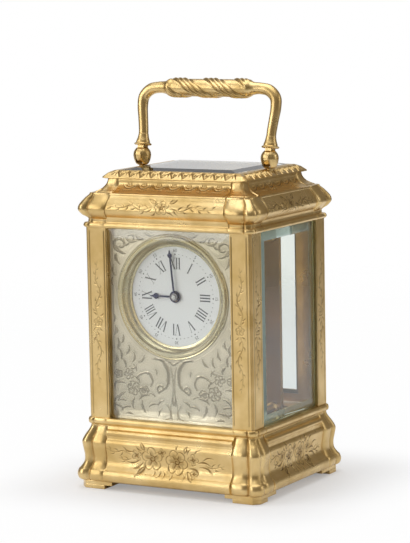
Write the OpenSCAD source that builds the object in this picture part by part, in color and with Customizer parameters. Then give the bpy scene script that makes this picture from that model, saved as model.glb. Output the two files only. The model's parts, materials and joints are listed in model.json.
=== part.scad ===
// Cage clock: a gilt gorge case of glass panes between four pillars, with its key-wound movement inside.
// Millimetres. X to the right, the dial faces -Y, Z up. The origin is the middle of the base on the table.

/* [Case] */
// Width over the flat faces of the pillars
case_w = 82; // [80:0.5:92]
// Depth over the flat faces of the pillars
case_d = 70.6; // [69:0.2:80]
// Height of the moulded base, from the table to the foot of the pillars
base_h = 31.3; // [30:0.1:38]
// Height of the pillars
pillar_h = 84.3; // [84:0.1:96]
// Height of the cornice
cornice_h = 20.9; // [20.5:0.1:26]
// Height of the lid frame over the cornice
lid_h = 3.5; // [3.2:0.1:5]
// Leg of the canted corner on the pillars
cant = 1.3; // [0.8:0.1:2]
// Width of a pillar on the dial side
pillar_face = 10.2; // [9:0.1:11]
// Width of a pillar on the flank
pillar_flank = 9.3; // [8.6:0.1:10]
// Wall of the angle-shaped pillar behind its faces
pillar_wall = 6; // [5.8:0.1:7]
// How far the panels between the corner blocks are sunk
panel_sink = 0.8; // [0.4:0.1:1.4]
// Width of the corner blocks of base and cornice
block_w = 9.2; // [8:0.1:10.5]
// Height of the four bracket feet
foot_h = 3.4; // [2.4:0.1:4.5]

/* [Glass] */
// Thickness of the glass panes
glass_t = 2.6; // [2:0.1:3]
// Width of the bevel round each pane
bevel_w = 4.4; // [2:0.1:6]
// How far a pane lies behind the face of its pillars
glass_back = 0.8; // [0.5:0.1:1.2]
// How far each end of the top pane stands in from the flank of the case
top_rail_x = 12.5; // [12.2:0.1:17]
// How far the front and rear of the top pane stand in from the faces of the case
top_rail_y = 11.1; // [10.9:0.1:15.3]
// Thickness of the top pane
top_glass_t = 3; // [2.4:0.1:3.2]

/* [Handle] */
// How far each handle pivot stands in from the flank of the case
pivot_in = 8.9; // [8:0.1:10]
// Height of the handle pivots over the lid
pivot_rise = 4.7; // [4.6:0.1:6]
// Height of the grip over the pivots
grip_rise = 30.2; // [27:0.1:36]
// Distance from a handle pivot in to the thick part of the grip
grip_in = 13.5; // [11:0.1:18]
// Radius of the grip
grip_r = 4.5; // [3.6:0.1:4.8]
// Radius of the handle arms
arm_r = 2.15; // [1.7:0.05:2.4]
// How far the handle leans back at rest, in degrees
lean = 10; // [0:1:20]
// Diameter of the handle pins
pin_d = 1.2; // [0.8:0.1:1.6]

/* [Dial] */
// Width of the bezel, from the enamel to its outer groove
bezel_w = 5.4; // [5:0.1:6.4]
// Width of the mask that shows between bezel and pillar
mask_margin = 3.5; // [2:0.1:5]
// Height of the mask that shows over the bezel
mask_top = 2.3; // [1.7:0.1:4]
// Gap between the front pane and the mask
mask_gap = 1.5; // [1.2:0.1:1.8]
// How deep the dial lies behind the face of the mask
dial_well = 3.3; // [2:0.1:3.6]
// How far the minute hand stops short of the edge of the dial
minute_short = 1.4; // [0.8:0.1:5]
// Length of the hour hand from the centre
hour_len = 12.6; // [9:0.1:16]
// Angle of the minute hand, clockwise from twelve
minute_at = 354; // [0:1:359]
// Angle of the hour hand, clockwise from twelve
hour_at = 269.5; // [0:0.5:359]

/* [Movement] */
// Room between a movement plate and the flank of the case, each side
side_room = 16; // [14:0.5:17]
// Thickness of the movement plates
plate_t = 2; // [1.6:0.1:2.4]
// Part of the case depth that the gap between the movement plates leaves free
depth_room = 36.6; // [36:0.1:38]
// Outer radius of the spring barrel
barrel_r = 16; // [13:0.1:16.8]
// Module of the great wheel and the centre pinion
great_mod = 0.46; // [0.44:0.01:0.48]
// Module of the centre wheel and the third pinion
centre_mod = 0.34; // [0.32:0.01:0.36]
// Module of the third wheel and the contrate pinion
third_mod = 0.3; // [0.29:0.01:0.31]
// Module of the contrate wheel and the escape pinion
contrate_mod = 0.3; // [0.29:0.005:0.31]
// Module of the motion work
motion_mod = 0.5; // [0.46:0.01:0.52]
// Radius of the balance wheel
balance_r = 7; // [6:0.1:7.2]
// Curls of the balance spring
hair_turns = 7; // [4:1:7]

/* [Rear door] */
// Width of the door frame's rails
rail_w = 5.2; // [4.4:0.1:7]
// Thickness of the door frame
door_t = 3.8; // [3.4:0.1:4]

/* [Hidden] */
$fn = 48;

// Fits and small gaps shared by all pieces
play = 0.1;
slip = 0.05;
bite = 1;
eps = 0.01;
far = 200;

// Colours of the metals
gilt = [0.86, 0.68, 0.32];
brass = [0.80, 0.66, 0.36];
steel = [0.62, 0.64, 0.67];
blued = [0.12, 0.16, 0.38];
clear_glass = [0.72, 0.84, 0.82, 0.35];

// Case planes
hw = case_w / 2;
hd = case_d / 2;
front_y = -hd;
rear_y = hd;
pillar_z = base_h;
cornice_z = base_h + pillar_h;
lid_z = cornice_z + cornice_h;
top_z = lid_z + lid_h;
open_x = hw - pillar_face;
open_y = hd - pillar_flank;
pivot_z = top_z + pivot_rise;
pivot_x = hw - pivot_in;
grip_half = pivot_x - grip_in;
top_glass_x = hw - top_rail_x;
top_glass_y = hd - top_rail_y;
bezel_r = open_x - mask_margin;
dial_r = bezel_r - bezel_w;
minute_len = dial_r - minute_short;
plate_w = case_w - 2 * side_room;
plate_gap = case_d - depth_room;

// Catmull-Rom curve through a list of points, with a number of steps between each pair
function knot(p, i) = p[max(0, min(len(p) - 1, i))];
function spline_at(a, b, c, d, t) =
    0.5 * (2 * b + (c - a) * t + (2 * a - 5 * b + 4 * c - d) * t * t + (3 * b - 3 * c + d - a) * t * t * t);
function spline(p, steps) = concat(
    [for (i = [0:len(p) - 2]) for (k = [0:steps - 1])
        spline_at(knot(p, i - 1), p[i], p[i + 1], knot(p, i + 2), k / steps)],
    [p[len(p) - 1]]);
function arc(r, a0, a1, n) = [for (i = [0:n]) let (a = a0 + (a1 - a0) * i / n) [r * cos(a), r * sin(a)]];

// A symmetric bar along Y whose right flank follows a profile of [outset, height] points
module profile_bar(profile, half) {
    right = [for (p = profile) [half + p[0], p[1]]];
    left = [for (i = [len(profile) - 1:-1:0]) [-half - profile[i][0], profile[i][1]]];
    rotate([90, 0, 0])
        linear_extrude(height = 2 * far, center = true)
            polygon(concat(right, left));
}

// A mitred moulding round the case: every face of the canted rectangle moves out by the profile's outset
module moulding(profile, corner) {
    diagonal = (hw + hd - corner) / sqrt(2);
    intersection() {
        profile_bar(profile, hw);
        rotate(90) profile_bar(profile, hd);
        rotate(45) profile_bar(profile, diagonal);
        rotate(-45) profile_bar(profile, diagonal);
    }
}

// The four corners outside a cross of the given half widths, which may taper with height
module corners(x_low, x_high, y_low, y_high, z_low, z_high) {
    intersection() {
        for (s = [-1, 1])
            rotate([90, 0, 0])
                linear_extrude(height = 2 * far, center = true)
                    polygon([[s * x_low, z_low], [s * far, z_low], [s * far, z_high], [s * x_high, z_high]]);
        for (s = [-1, 1])
            rotate([90, 0, 90])
                linear_extrude(height = 2 * far, center = true)
                    polygon([[s * y_low, z_low], [s * far, z_low], [s * far, z_high], [s * y_high, z_high]]);
    }
}

// Upright strips over the four corners, square to their canted faces
strip_in = 12;
module corner_strips(half_w, z_low, z_high) {
    for (x = [-1, 1])
        for (y = [-1, 1])
            translate([x * hw, y * hd, z_low]) rotate(x * y * 45)
                translate([-strip_in, -half_w, 0]) cube([2 * strip_in, 2 * half_w, z_high - z_low]);
}

// A box centred on X and Y
module slab(x, y, z0, z1) {
    translate([-x, -y, z0]) cube([2 * x, 2 * y, z1 - z0]);
}

// Base moulding: torus at the foot, long ogee, neck and top bead
base_bead = [[0.5, -2.7], [1.1, -2.4], [1.35, -1.4], [1.1, -0.3], [0.8, 0]];
function base_profile(sink, rim) = concat(
    spline([[3.7, foot_h], [4.9, foot_h + 0.8], [5.4, foot_h + 2.8], [4.9, foot_h + 4.8],
        [4.1 - sink / 2, foot_h + 5.8], [2.9 - sink, foot_h + 8], [2.65 - sink, foot_h + 10.8],
        [3.1 - sink, base_h - 13.9], [3.5 - sink, base_h - 11.1], [3.2 - sink, base_h - 9.7]], 3),
    rim,
    [for (p = spline(base_bead, 2)) [p[0], base_h + p[1]]]);
block_rim = spline([[2.9, base_h - 9], [2, base_h - 7.3], [1.1, base_h - 5.9], [0.3, base_h - 4.3],
    [0.1, base_h - 3.2]], 2);
panel_rim = concat([[1.7, base_h - 8.9], [1.6, base_h - 7.6]],
    spline([[1.8, base_h - 7.2], [2.15, base_h - 6.2], [1.7, base_h - 5.2]], 3),
    [[0.5, base_h - 4.7], [0.1, base_h - 3.4]]);
cavity_x = hw - 9.6;
cavity_y = hd - 8.1;
seat_top = base_h - 6.8;
seat_t = 2.5;
ledge_x = open_x - 3.6;
ledge_y = open_y - 3.6;
screw_in = 4;
screw_x = hw - screw_in;
screw_y = hd - screw_in;
case_screw_r = 1.2;
case_head_r = 2.4;
case_head_z = base_h - 9;
block_cant = cant + 2.3;
// Rounded corner as two steps: half width and leg of the canted corner of each
lobe_steps = [[3.3, block_cant - 1.5], [2, block_cant - 2.6]];
glass_in = bite + play;

// Slots that take the edges of the three fixed panes, cut into base and cornice
module pane_slots(z0, z1) {
    for (side = [0, 1])
        mirror([side, 0, 0])
            translate([hw - glass_back - glass_t - play, -open_y - glass_in, z0])
                cube([glass_t + 2 * play, 2 * (open_y + glass_in), z1 - z0]);
    translate([-open_x - glass_in, front_y + glass_back - play, z0])
        cube([2 * (open_x + glass_in), glass_t + 2 * play, z1 - z0]);
}

module case_screw_places() {
    for (x = [-1, 1])
        for (y = [-1, 1])
            translate([x * screw_x, y * screw_y, 0]) children();
}

module base_frame() {
    color(gilt) difference() {
        union() {
            moulding(base_profile(panel_sink, panel_rim), cant);
            intersection() {
                moulding(base_profile(0, block_rim), block_cant);
                corners(hw - block_w, hw - block_w, hd - block_w, hd - block_w, 0, base_h);
            }
            for (step = lobe_steps)
                intersection() {
                    moulding(base_profile(0, block_rim), step[1]);
                    corner_strips(step[0], 0, base_h);
                }
            foot_ring(hw - 12.8, hd - 13.2, foot_h / 2);
            foot_ring(hw - 9, hd - 5.4, 0);
        }
        slab(cavity_x, cavity_y, -eps, seat_top);
        slab(ledge_x, ledge_y, 0, base_h + eps);
        pane_slots(base_h - glass_in, base_h + eps);
        case_screw_places() {
            cylinder(h = 2 * case_head_z, r = case_head_r + play, center = true);
            cylinder(h = far, r = case_screw_r + slip);
        }
        door_pin_places() cylinder(h = 2 * door_pin_len, r = door_pin_r + slip, center = true);
        seat_screw_places() cylinder(h = seat_t + 3, r = seat_screw_r);
    }
}

// Bracket feet as the corners of a canted ring
module foot_ring(x, y, z) {
    intersection() {
        moulding([[3.5, z], [3.7, foot_h + eps]], block_cant - 0.9);
        corners(x, x, y, y, z, foot_h + 1);
    }
}

seat_screw_r = 1;
module seat_screw_places() {
    for (x = [-1, 1])
        for (y = [-1, 1])
            translate([x * (ledge_x + 2), y * (ledge_y - 6), seat_top - seat_t]) children();
}

module seat_plate() {
    color(brass) difference() {
        slab(cavity_x - play, cavity_y - play, seat_top - seat_t, seat_top);
        seat_screw_places()
            translate([0, 0, -eps]) cylinder(h = seat_t + 1, r = seat_screw_r + play);
        movement_screw_places()
            translate([0, 0, -eps]) cylinder(h = seat_t + 1, r = movement_screw_r + play);
    }
}

// A cheese-headed screw that points up, its head below the given height
module screw_up(shank_r, shank_len, head_r, head_h) {
    difference() {
        union() {
            cylinder(h = shank_len, r = shank_r);
            translate([0, 0, -head_h]) cylinder(h = head_h, r = head_r);
        }
        translate([-head_r - 1, -0.2, -head_h - eps]) cube([2 * head_r + 2, 0.4, 0.5]);
    }
}

module seat_screws() {
    color(steel) seat_screw_places() screw_up(seat_screw_r - slip, seat_t + 2.8, 1.8, 1);
}

movement_screw_r = 1.2;
module movement_screw_places() {
    for (x = [-1, 1])
        translate([x * low_pillar_x, (gap_y + back_plate_y) / 2, seat_top - seat_t]) children();
}
module movement_screws() {
    color(steel) movement_screw_places()
        screw_up(movement_screw_r - slip, seat_t + low_pillar_rise - 0.8, 2.1, 1.1);
}

module case_screws() {
    color(steel) case_screw_places()
        translate([0, 0, case_head_z]) screw_up(case_screw_r, cornice_z + 5 - case_head_z, case_head_r, 1.4);
}

// Pillar: an angle section with pane grooves in both edges and fine reeds on its canted corner
reeds = 3;
reed_step = cant * sqrt(2) / reeds;
function reed_row() = [for (i = [0:reeds - 1]) for (k = [0:4])
    let (a = 180 * k / 4, s = (i + 0.5) * reed_step - reed_step / 2 * cos(a), out = reed_step * 0.35 * sin(a))
        [hw - cant + (s + out) / sqrt(2), hd - (s - out) / sqrt(2)]];
module pillar_section() {
    g0 = glass_back - play;
    g1 = glass_back + glass_t + play;
    polygon(concat(
        [[open_x, hd]],
        reed_row(),
        [[hw, open_y], [hw - g0, open_y], [hw - g0, open_y + glass_in], [hw - g1, open_y + glass_in],
         [hw - g1, open_y], [hw - pillar_wall, open_y], [hw - pillar_wall, hd - pillar_wall],
         [open_x, hd - pillar_wall], [open_x, hd - g1], [open_x + glass_in, hd - g1],
         [open_x + glass_in, hd - g0], [open_x, hd - g0]]));
}
module pillar(x, y) {
    color(gilt) mirror([x < 0 ? 1 : 0, 0, 0]) mirror([0, y < 0 ? 1 : 0, 0])
        difference() {
            translate([0, 0, pillar_z]) linear_extrude(height = pillar_h) pillar_section();
            translate([screw_x, screw_y, pillar_z - eps]) cylinder(h = pillar_h + 1, r = case_screw_r + slip);
        }
}
module pillar_front_left() { pillar(-1, -1); }
module pillar_front_right() { pillar(1, -1); }
module pillar_rear_left() { pillar(-1, 1); }
module pillar_rear_right() { pillar(1, 1); }

// Cornice: bead, fillet, bold ovolo, then a cavetto up to the lid
function cornice_profile(sink) = [for (p = concat(
    spline([[0.9, 0], [1.35, 0.5], [1.45, 1.1], [1, 2.1]], 2),
    [[-0.3, 2.3], [-0.3, 3.7]],
    spline([[0.8 - sink, 4.7], [1.9 - sink, 5.9], [2.8 - sink, 7.2], [3 - sink, 8.4], [2.6 - sink, 9.8],
        [1.7 - sink, 11.2], [0.5 - sink, 12.7], [-0.6 - sink / 2, 14]], 3),
    [[-0.9, 14.4], [-1, 15], [-2.5, 15.1]],
    spline([[-3.1 - sink / 2, 15.5], [-4.6 - sink / 2, 16.2], [-6.2 - sink / 2, 17.4], [-7.1 - sink / 2, 18.8],
        [-7.5, 20.2]], 2),
    [[-7.6, cornice_h]])) [p[0], cornice_z + p[1]]];
cornice_in_x = open_x - 2.3;
cornice_in_y = open_y - 2;
block_taper = 2.8;
ovolo_top = 14.6;

module cornice() {
    color(gilt) difference() {
        union() {
            moulding(cornice_profile(panel_sink), cant);
            intersection() {
                moulding(cornice_profile(0), block_cant);
                corners(hw - block_w - 1, hw - block_w - 1 - block_taper, hd - block_w - 1,
                    hd - block_w - 1 - block_taper, cornice_z, lid_z);
            }
            for (step = lobe_steps)
                intersection() {
                    moulding(cornice_profile(0), step[1]);
                    corner_strips(step[0], cornice_z, cornice_z + ovolo_top);
                }
        }
        slab(cornice_in_x, cornice_in_y, cornice_z - eps, lid_z + eps);
        pane_slots(cornice_z - eps, cornice_z + glass_in);
        case_screw_places()
            translate([0, 0, cornice_z - eps]) cylinder(h = 5.5, r = case_screw_r + slip);
        door_pin_places()
            translate([0, 0, door_top - door_z]) cylinder(h = 2 * door_pin_len, r = door_pin_r + slip, center = true);
    }
}

// Lid frame: a thin lip, a sloping leaf band and a rebate for the top pane
lip_out = -5.2;
plateau_out = -9.9;
seat_x = top_glass_x + play;
seat_y = top_glass_y + play;
top_glass_z = top_z + 0.9;
module lid_frame() {
    color(gilt) difference() {
        moulding([[lip_out - 1.4, lid_z], [lip_out, lid_z + 0.3], [lip_out, lid_z + 0.8],
            [(lip_out + plateau_out) / 2, lid_z + lid_h * 0.72], [plateau_out, top_z]], cant);
        slab(top_glass_x - 2, top_glass_y - 2, lid_z - eps, top_z + eps);
        slab(seat_x, seat_y, top_glass_z - top_glass_t, top_z + 1);
        for (x = [-1, 1])
            translate([x * pivot_x, 0, lid_z - eps]) cylinder(h = 2 * lid_h, r = knob_shank_r + slip);
    }
}

// A pane in the XZ plane: its outer face is bevelled to half its thickness, the mitres meet at the corners
module pane(half_w, z0, z1, t, bevel, drop) {
    intersection() {
        translate([0, 0, z0 - 1])
            linear_extrude(height = z1 - z0 + 2)
                polygon([[-half_w, drop], [-half_w + bevel, 0], [half_w - bevel, 0], [half_w, drop],
                    [half_w, t], [-half_w, t]]);
        rotate([90, 0, 90])
            linear_extrude(height = 2 * far, center = true)
                polygon([[drop, z0], [0, z0 + bevel], [0, z1 - bevel], [drop, z1], [t, z1], [t, z0]]);
    }
}
bevel_drop = glass_t * 0.42;
pane_z0 = base_h - bite;
pane_z1 = cornice_z + bite;
module glass_front() {
    color(clear_glass) translate([0, front_y + glass_back, 0])
        pane(open_x + bite, pane_z0, pane_z1, glass_t, bevel_w + bite, bevel_drop);
}
module glass_flank(s) {
    color(clear_glass) rotate(s * 90) translate([0, -hw + glass_back, 0])
        pane(open_y + bite, pane_z0, pane_z1, glass_t, bevel_w + bite, bevel_drop);
}
module glass_left() { glass_flank(-1); }
module glass_right() { glass_flank(1); }
module glass_top() {
    color(clear_glass) translate([0, 0, top_glass_z])
        rotate([-90, 0, 0])
            pane(top_glass_x, -top_glass_y, top_glass_y, top_glass_t, bevel_w, 0.9);
}

// Rear door: a framed pane that turns on two pins beside the rear left pillar
door_gap = 0.3;
door_half = open_x - door_gap;
door_z = base_h + 0.4;
door_top = cornice_z - 0.4;
door_out = 0.4;
door_y = rear_y - door_out - door_t / 2;
hinge_r = door_t / 2;
hinge_x = -door_half + hinge_r;
door_pin_r = 0.8;
door_pin_len = 2.4;
rebate_t = 1.5;
module door_pin_places() {
    translate([hinge_x, door_y, door_z]) children();
}
module door_frame() {
    inner_x = door_half - rail_w;
    color(gilt) difference() {
        union() {
            translate([hinge_x, door_y - door_t / 2, door_z])
                cube([door_half - hinge_x, door_t, door_top - door_z]);
            translate([hinge_x, door_y, door_z]) cylinder(h = door_top - door_z, r = hinge_r);
        }
        slab_at(0, door_y, inner_x, door_t, door_z + rail_w, door_top - rail_w);
        slab_at(0, door_y - door_t / 2, inner_x + 1.5, door_t - rebate_t, door_z + rail_w - 1.5,
            door_top - rail_w + 1.5);
        for (z = [door_z, door_top])
            translate([hinge_x, door_y, z]) cylinder(h = 2 * door_pin_len, r = door_pin_r, center = true);
        translate([knob_door_x, door_y, knob_door_z]) rotate([90, 0, 0])
            cylinder(h = door_t + 1, r = 0.9, center = true);
    }
}
module slab_at(x, y, half_x, half_y, z0, z1) {
    translate([x - half_x, y - half_y, z0]) cube([2 * half_x, 2 * half_y, z1 - z0]);
}
module glass_door() {
    color(clear_glass) translate([0, door_y + door_t / 2 - rebate_t, 0]) mirror([0, 1, 0])
        pane(door_half - rail_w + 1.4, door_z + rail_w - 1.4, door_top - rail_w + 1.4, 2, bevel_w, 0);
}
module door_pins() {
    color(steel) for (z = [door_z, door_top])
        translate([hinge_x, door_y, z]) cylinder(h = 2 * door_pin_len - 0.4, r = door_pin_r, center = true);
}
knob_door_x = door_half - rail_w / 2;
knob_door_z = (door_z + door_top) / 2;
module door_knob() {
    color(gilt) translate([knob_door_x, door_y + door_t / 2, knob_door_z]) rotate([-90, 0, 0])
        rotate_extrude()
            polygon(concat([[0, -door_t], [0.85, -door_t], [0.85, 0], [1.7, 0], [1.7, 0.5]],
                spline([[0.9, 0.9], [0.8, 1.6], [1.9, 2.6], [2.1, 3.5], [1.4, 4.3], [0, 4.6]], 3)));
}

// Handle knobs: forked buds on the lid, slotted from front to back for the handle's tongues
knob_shank_r = 1.5;
fork_r = 3.95;
tongue_half = 1.5;
slot_half = tongue_half + 0.15;
tongue_r = fork_r - 0.35;
slot_deep = tongue_r + 0.3;
module knob(s) {
    egg = concat([[0, lid_z - pivot_z + 0.1], [knob_shank_r, lid_z - pivot_z + 0.1], [knob_shank_r, -4.6]],
        spline([[2.1, -4.5], [2.9, -3.8], [3.6, -2.2], [fork_r, -0.4]], 3),
        [for (a = [0:12:60]) [fork_r * cos(a), fork_r * sin(a)]], [[0, fork_r * sin(60)]]);
    color(gilt) translate([s * pivot_x, 0, pivot_z]) difference() {
        rotate_extrude() polygon(egg);
        translate([-slot_half, -10, -slot_deep]) cube([2 * slot_half, 20, 20]);
        rotate([0, 90, 0]) cylinder(h = 20, r = pin_d / 2, center = true);
    }
}
module knob_left() { knob(-1); }
module knob_right() { knob(1); }

module handle_pins() {
    color(gilt) for (s = [-1, 1])
        translate([s * pivot_x, 0, pivot_z]) rotate([0, 90, 0])
            cylinder(h = 2 * fork_r - 0.5, r = pin_d / 2, center = true);
}

// Handle: two tongues with ferrules, and one swept bar for arms and twisted grip
ferrule_z = fork_r + 0.25;
arm_z = ferrule_z + 3.6;
half_path = [[pivot_x, arm_z - 0.6, arm_r], [pivot_x + 0.15, arm_z + 3.5, arm_r],
    [pivot_x + 0.8, grip_rise - 13.5, arm_r + 0.05], [pivot_x + 1.4, grip_rise - 8.4, arm_r + 0.2],
    [pivot_x + 0.9, grip_rise - 4, arm_r + 0.35], [pivot_x - 2.3, grip_rise - 0.9, arm_r + 0.45],
    [pivot_x - 6.5, grip_rise, arm_r + 0.4], [grip_half + 3.4, grip_rise, arm_r + 0.75],
    [grip_half, grip_rise, grip_r - 0.15], [grip_half * 0.6, grip_rise, grip_r], [0, grip_rise, grip_r]];
bow_half = spline(half_path, 5);
bow = concat(bow_half, [for (i = [len(bow_half) - 2:-1:0]) [-bow_half[i][0], bow_half[i][1], bow_half[i][2]]]);
bow_sides = 24;
strands = 2;
strand_twist = 11.6;
strand_deep = 0.13;
function bow_lobe(x, a) = abs(x) < grip_half + 2
    ? 1 - strand_deep * min(1, (grip_half + 2 - abs(x)) / 3) * (1 - abs(cos(strands / 2 * (a + strand_twist * x))))
    : 1;
module swept_bow() {
    n = len(bow);
    points = [for (i = [0:n - 1])
        let (t = bow[min(n - 1, i + 1)] - bow[max(0, i - 1)], m = norm([t[0], t[1]]),
            side = [-t[1] / m, t[0] / m])
        for (k = [0:bow_sides - 1])
            let (a = 360 * k / bow_sides, r = bow[i][2] * bow_lobe(bow[i][0], a))
                [bow[i][0] + side[0] * r * cos(a), r * sin(a), bow[i][1] + side[1] * r * cos(a)]];
    walls = [for (i = [0:n - 2]) for (k = [0:bow_sides - 1])
        let (a = i * bow_sides + k, b = i * bow_sides + (k + 1) % bow_sides)
            each [[a, b, a + bow_sides], [b, b + bow_sides, a + bow_sides]]];
    first = [for (k = [bow_sides - 1:-1:0]) k];
    last = [for (k = [0:bow_sides - 1]) (n - 1) * bow_sides + k];
    polyhedron(points, concat(walls, [first], [last]));
}
tongue_round = 0.5;
tongue = [[0, -tongue_half], [tongue_r - tongue_round, -tongue_half], [tongue_r, tongue_round - tongue_half],
    [tongue_r, tongue_half - tongue_round], [tongue_r - tongue_round, tongue_half], [0, tongue_half]];
ferrule = concat([[0, ferrule_z], [3.3, ferrule_z], [3.7, ferrule_z + 0.4], [3.7, ferrule_z + 0.9],
    [3.3, ferrule_z + 1.3]], spline([[3.05, ferrule_z + 1.4], [2.75, ferrule_z + 2.1], [2.45, ferrule_z + 2.8],
    [arm_r + 0.1, arm_z]], 2), [[0, arm_z]]);
module handle() {
    color(gilt) translate([0, 0, pivot_z]) rotate([-lean, 0, 0]) difference() {
        union() {
            swept_bow();
            for (s = [-1, 1]) translate([s * pivot_x, 0, 0]) {
                rotate_extrude() polygon(ferrule);
                translate([-tongue_half, -2, 0]) cube([2 * tongue_half, 4, ferrule_z + 0.5]);
                rotate([0, 90, 0]) rotate_extrude() polygon(tongue);
            }
        }
        rotate([0, 90, 0]) cylinder(h = 2 * far, r = pin_d / 2 + slip, center = true);
    }
}

// A shape drawn as seen from the dial side, running forward from the rear plane y
module facing(x, z, y) {
    translate([x, y, z]) rotate([90, 0, 0]) children();
}

// Dial group
dial_z = cornice_z - mask_top - bezel_r;
mask_y = front_y + glass_back + glass_t + mask_gap;
mask_t = 1;
mask_hole_r = bezel_r - 2.4;
enamel_y = mask_y + dial_well;
enamel_t = 0.9;
pipe_hole_r = 2.3;
module dial_mask() {
    color([0.84, 0.80, 0.66]) difference() {
        translate([play - open_x, mask_y, base_h + play])
            cube([2 * (open_x - play), mask_t, pillar_h - 2 * play]);
        facing(0, dial_z, mask_y + mask_t + 1) cylinder(h = mask_t + 2, r = mask_hole_r);
    }
}
// Bezel: a reeded flange on the mask and a hollow that runs in to a bead on the dial
module bezel_ring() {
    ring = concat([[dial_r, play - dial_well], [dial_r, 0.45 - dial_well], [dial_r + 0.5, 0.6 - dial_well]],
        spline([[dial_r + 0.9, 0.7 - dial_well], [dial_r + 1.3, -0.45 * dial_well], [dial_r + 2.2, -0.5],
            [bezel_r - 2.5, 0.6]], 3),
        [[bezel_r - 2, 0.95], [bezel_r - 1.2, 0.95], [bezel_r - 0.8, 0.45], [bezel_r - 0.3, 0.65], [bezel_r, 0.4],
         [bezel_r, 0], [mask_hole_r - play, 0], [mask_hole_r - play, -mask_t], [dial_r + 1.9, play - dial_well]]);
    color(gilt) facing(0, dial_z, mask_y) rotate_extrude() polygon(ring);
}
module enamel_dial() {
    color([0.95, 0.95, 0.93]) facing(0, dial_z, enamel_y + enamel_t) difference() {
        cylinder(h = enamel_t, r = dial_r + 0.9);
        translate([0, 0, -1]) cylinder(h = enamel_t + 2, r = pipe_hole_r);
    }
}
dial_plate_y = enamel_y + enamel_t;
dial_plate_t = 1;
foot_ring_r = dial_r + 0.6;
module dial_plate() {
    color(brass) {
        facing(0, dial_z, dial_plate_y + dial_plate_t) difference() {
            cylinder(h = dial_plate_t, r = dial_r + 2.6);
            translate([0, 0, -1]) cylinder(h = dial_plate_t + 2, r = pipe_hole_r);
        }
        for (a = [45:90:315])
            facing(foot_ring_r * cos(a), dial_z + foot_ring_r * sin(a), front_plate_y)
                cylinder(h = front_plate_y - dial_plate_y - dial_plate_t / 2, r = 1.2);
    }
}

// Spade hands, drawn pointing up from the centre
hand_t = 0.35;
hour_hand_y = enamel_y - 0.55;
minute_hand_y = hour_hand_y - hand_t - 0.35;
module spade(length, hub_r, hole_r, leaf) {
    stem = 0.32;
    side = concat([[stem * 1.3, 0], [stem, length - 2.8 * leaf]],
        spline([[leaf * 0.7, length - 2.6 * leaf], [leaf * 0.85, length - 1.9 * leaf],
            [leaf * 0.3, length - 1.1 * leaf]], 3),
        [[0.08, length]]);
    other = [for (i = [len(side) - 1:-1:0]) [-side[i][0], side[i][1]]];
    difference() {
        union() {
            linear_extrude(height = hand_t) polygon(concat(side, other));
            cylinder(h = hand_t, r = hub_r);
        }
        translate([0, 0, -1]) cylinder(h = hand_t + 2, r = hole_r);
    }
}
module hour_hand() {
    color(blued) facing(0, dial_z, hour_hand_y) rotate(-hour_at) spade(hour_len, 2.6, pipe_r, 1.5);
}
module minute_hand() {
    color(blued) facing(0, dial_z, minute_hand_y) rotate(-minute_at) spade(minute_len, 1.9, cannon_r, 1.2);
}
module hand_collet() {
    color(steel) facing(0, dial_z, minute_hand_y - hand_t) {
        difference() {
            cylinder(h = 0.25, r = 1.6);
            translate([0, 0, -1]) cylinder(h = 3, r = arbor_r + slip);
        }
        translate([-1.9, 0, 0.45]) rotate([0, 90, 0]) difference() {
            cylinder(h = 3.8, r = 0.22);
            translate([0, 0, 1.9 - arbor_r - slip]) cylinder(h = 2 * (arbor_r + slip), r = 0.3);
        }
    }
}

// Movement frame
movement_in = 9;
front_plate_y = enamel_y + movement_in;
back_plate_y = front_plate_y + plate_t + plate_gap;
gap_y = front_plate_y + plate_t;
plate_z = seat_top;
centre = [0, dial_z];
third_arm = [15, 30];
great_teeth = 80;
centre_leaves = 10;
centre_teeth = 80;
third_leaves = 10;
third_teeth = 75;
contrate_leaves = 10;
contrate_teeth = 60;
escape_leaves = 6;
escape_teeth = 15;
great_dist = great_mod * (great_teeth + centre_leaves) / 2;
centre_dist = centre_mod * (centre_teeth + third_leaves) / 2;
third_dist = third_mod * (third_teeth + contrate_leaves) / 2;
barrel_dir = 259;
third_dir = 30;
contrate_dir = 129;
barrel_at = centre + great_dist * [cos(barrel_dir), sin(barrel_dir)];
third_at = centre + centre_dist * [cos(third_dir), sin(third_dir)];
contrate_at = third_at + third_dist * [cos(contrate_dir), sin(contrate_dir)];
contrate_r = contrate_mod * contrate_teeth / 2;
plate_top = contrate_at[1] + contrate_r + 1.6;
arbor_r = 0.9;
cannon_r = 1.35;
pipe_r = 2;
pivot_r = 0.5;
low_pillar_rise = 6.4;
low_pillar_x = plate_w / 2 - 3.6;
pillar_spots = [[-low_pillar_x, plate_z + low_pillar_rise], [low_pillar_x, plate_z + low_pillar_rise],
    [-low_pillar_x, plate_top - 5.6], [low_pillar_x, plate_top - 5.6]];
barrel_pivot_r = 1.6;

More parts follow.
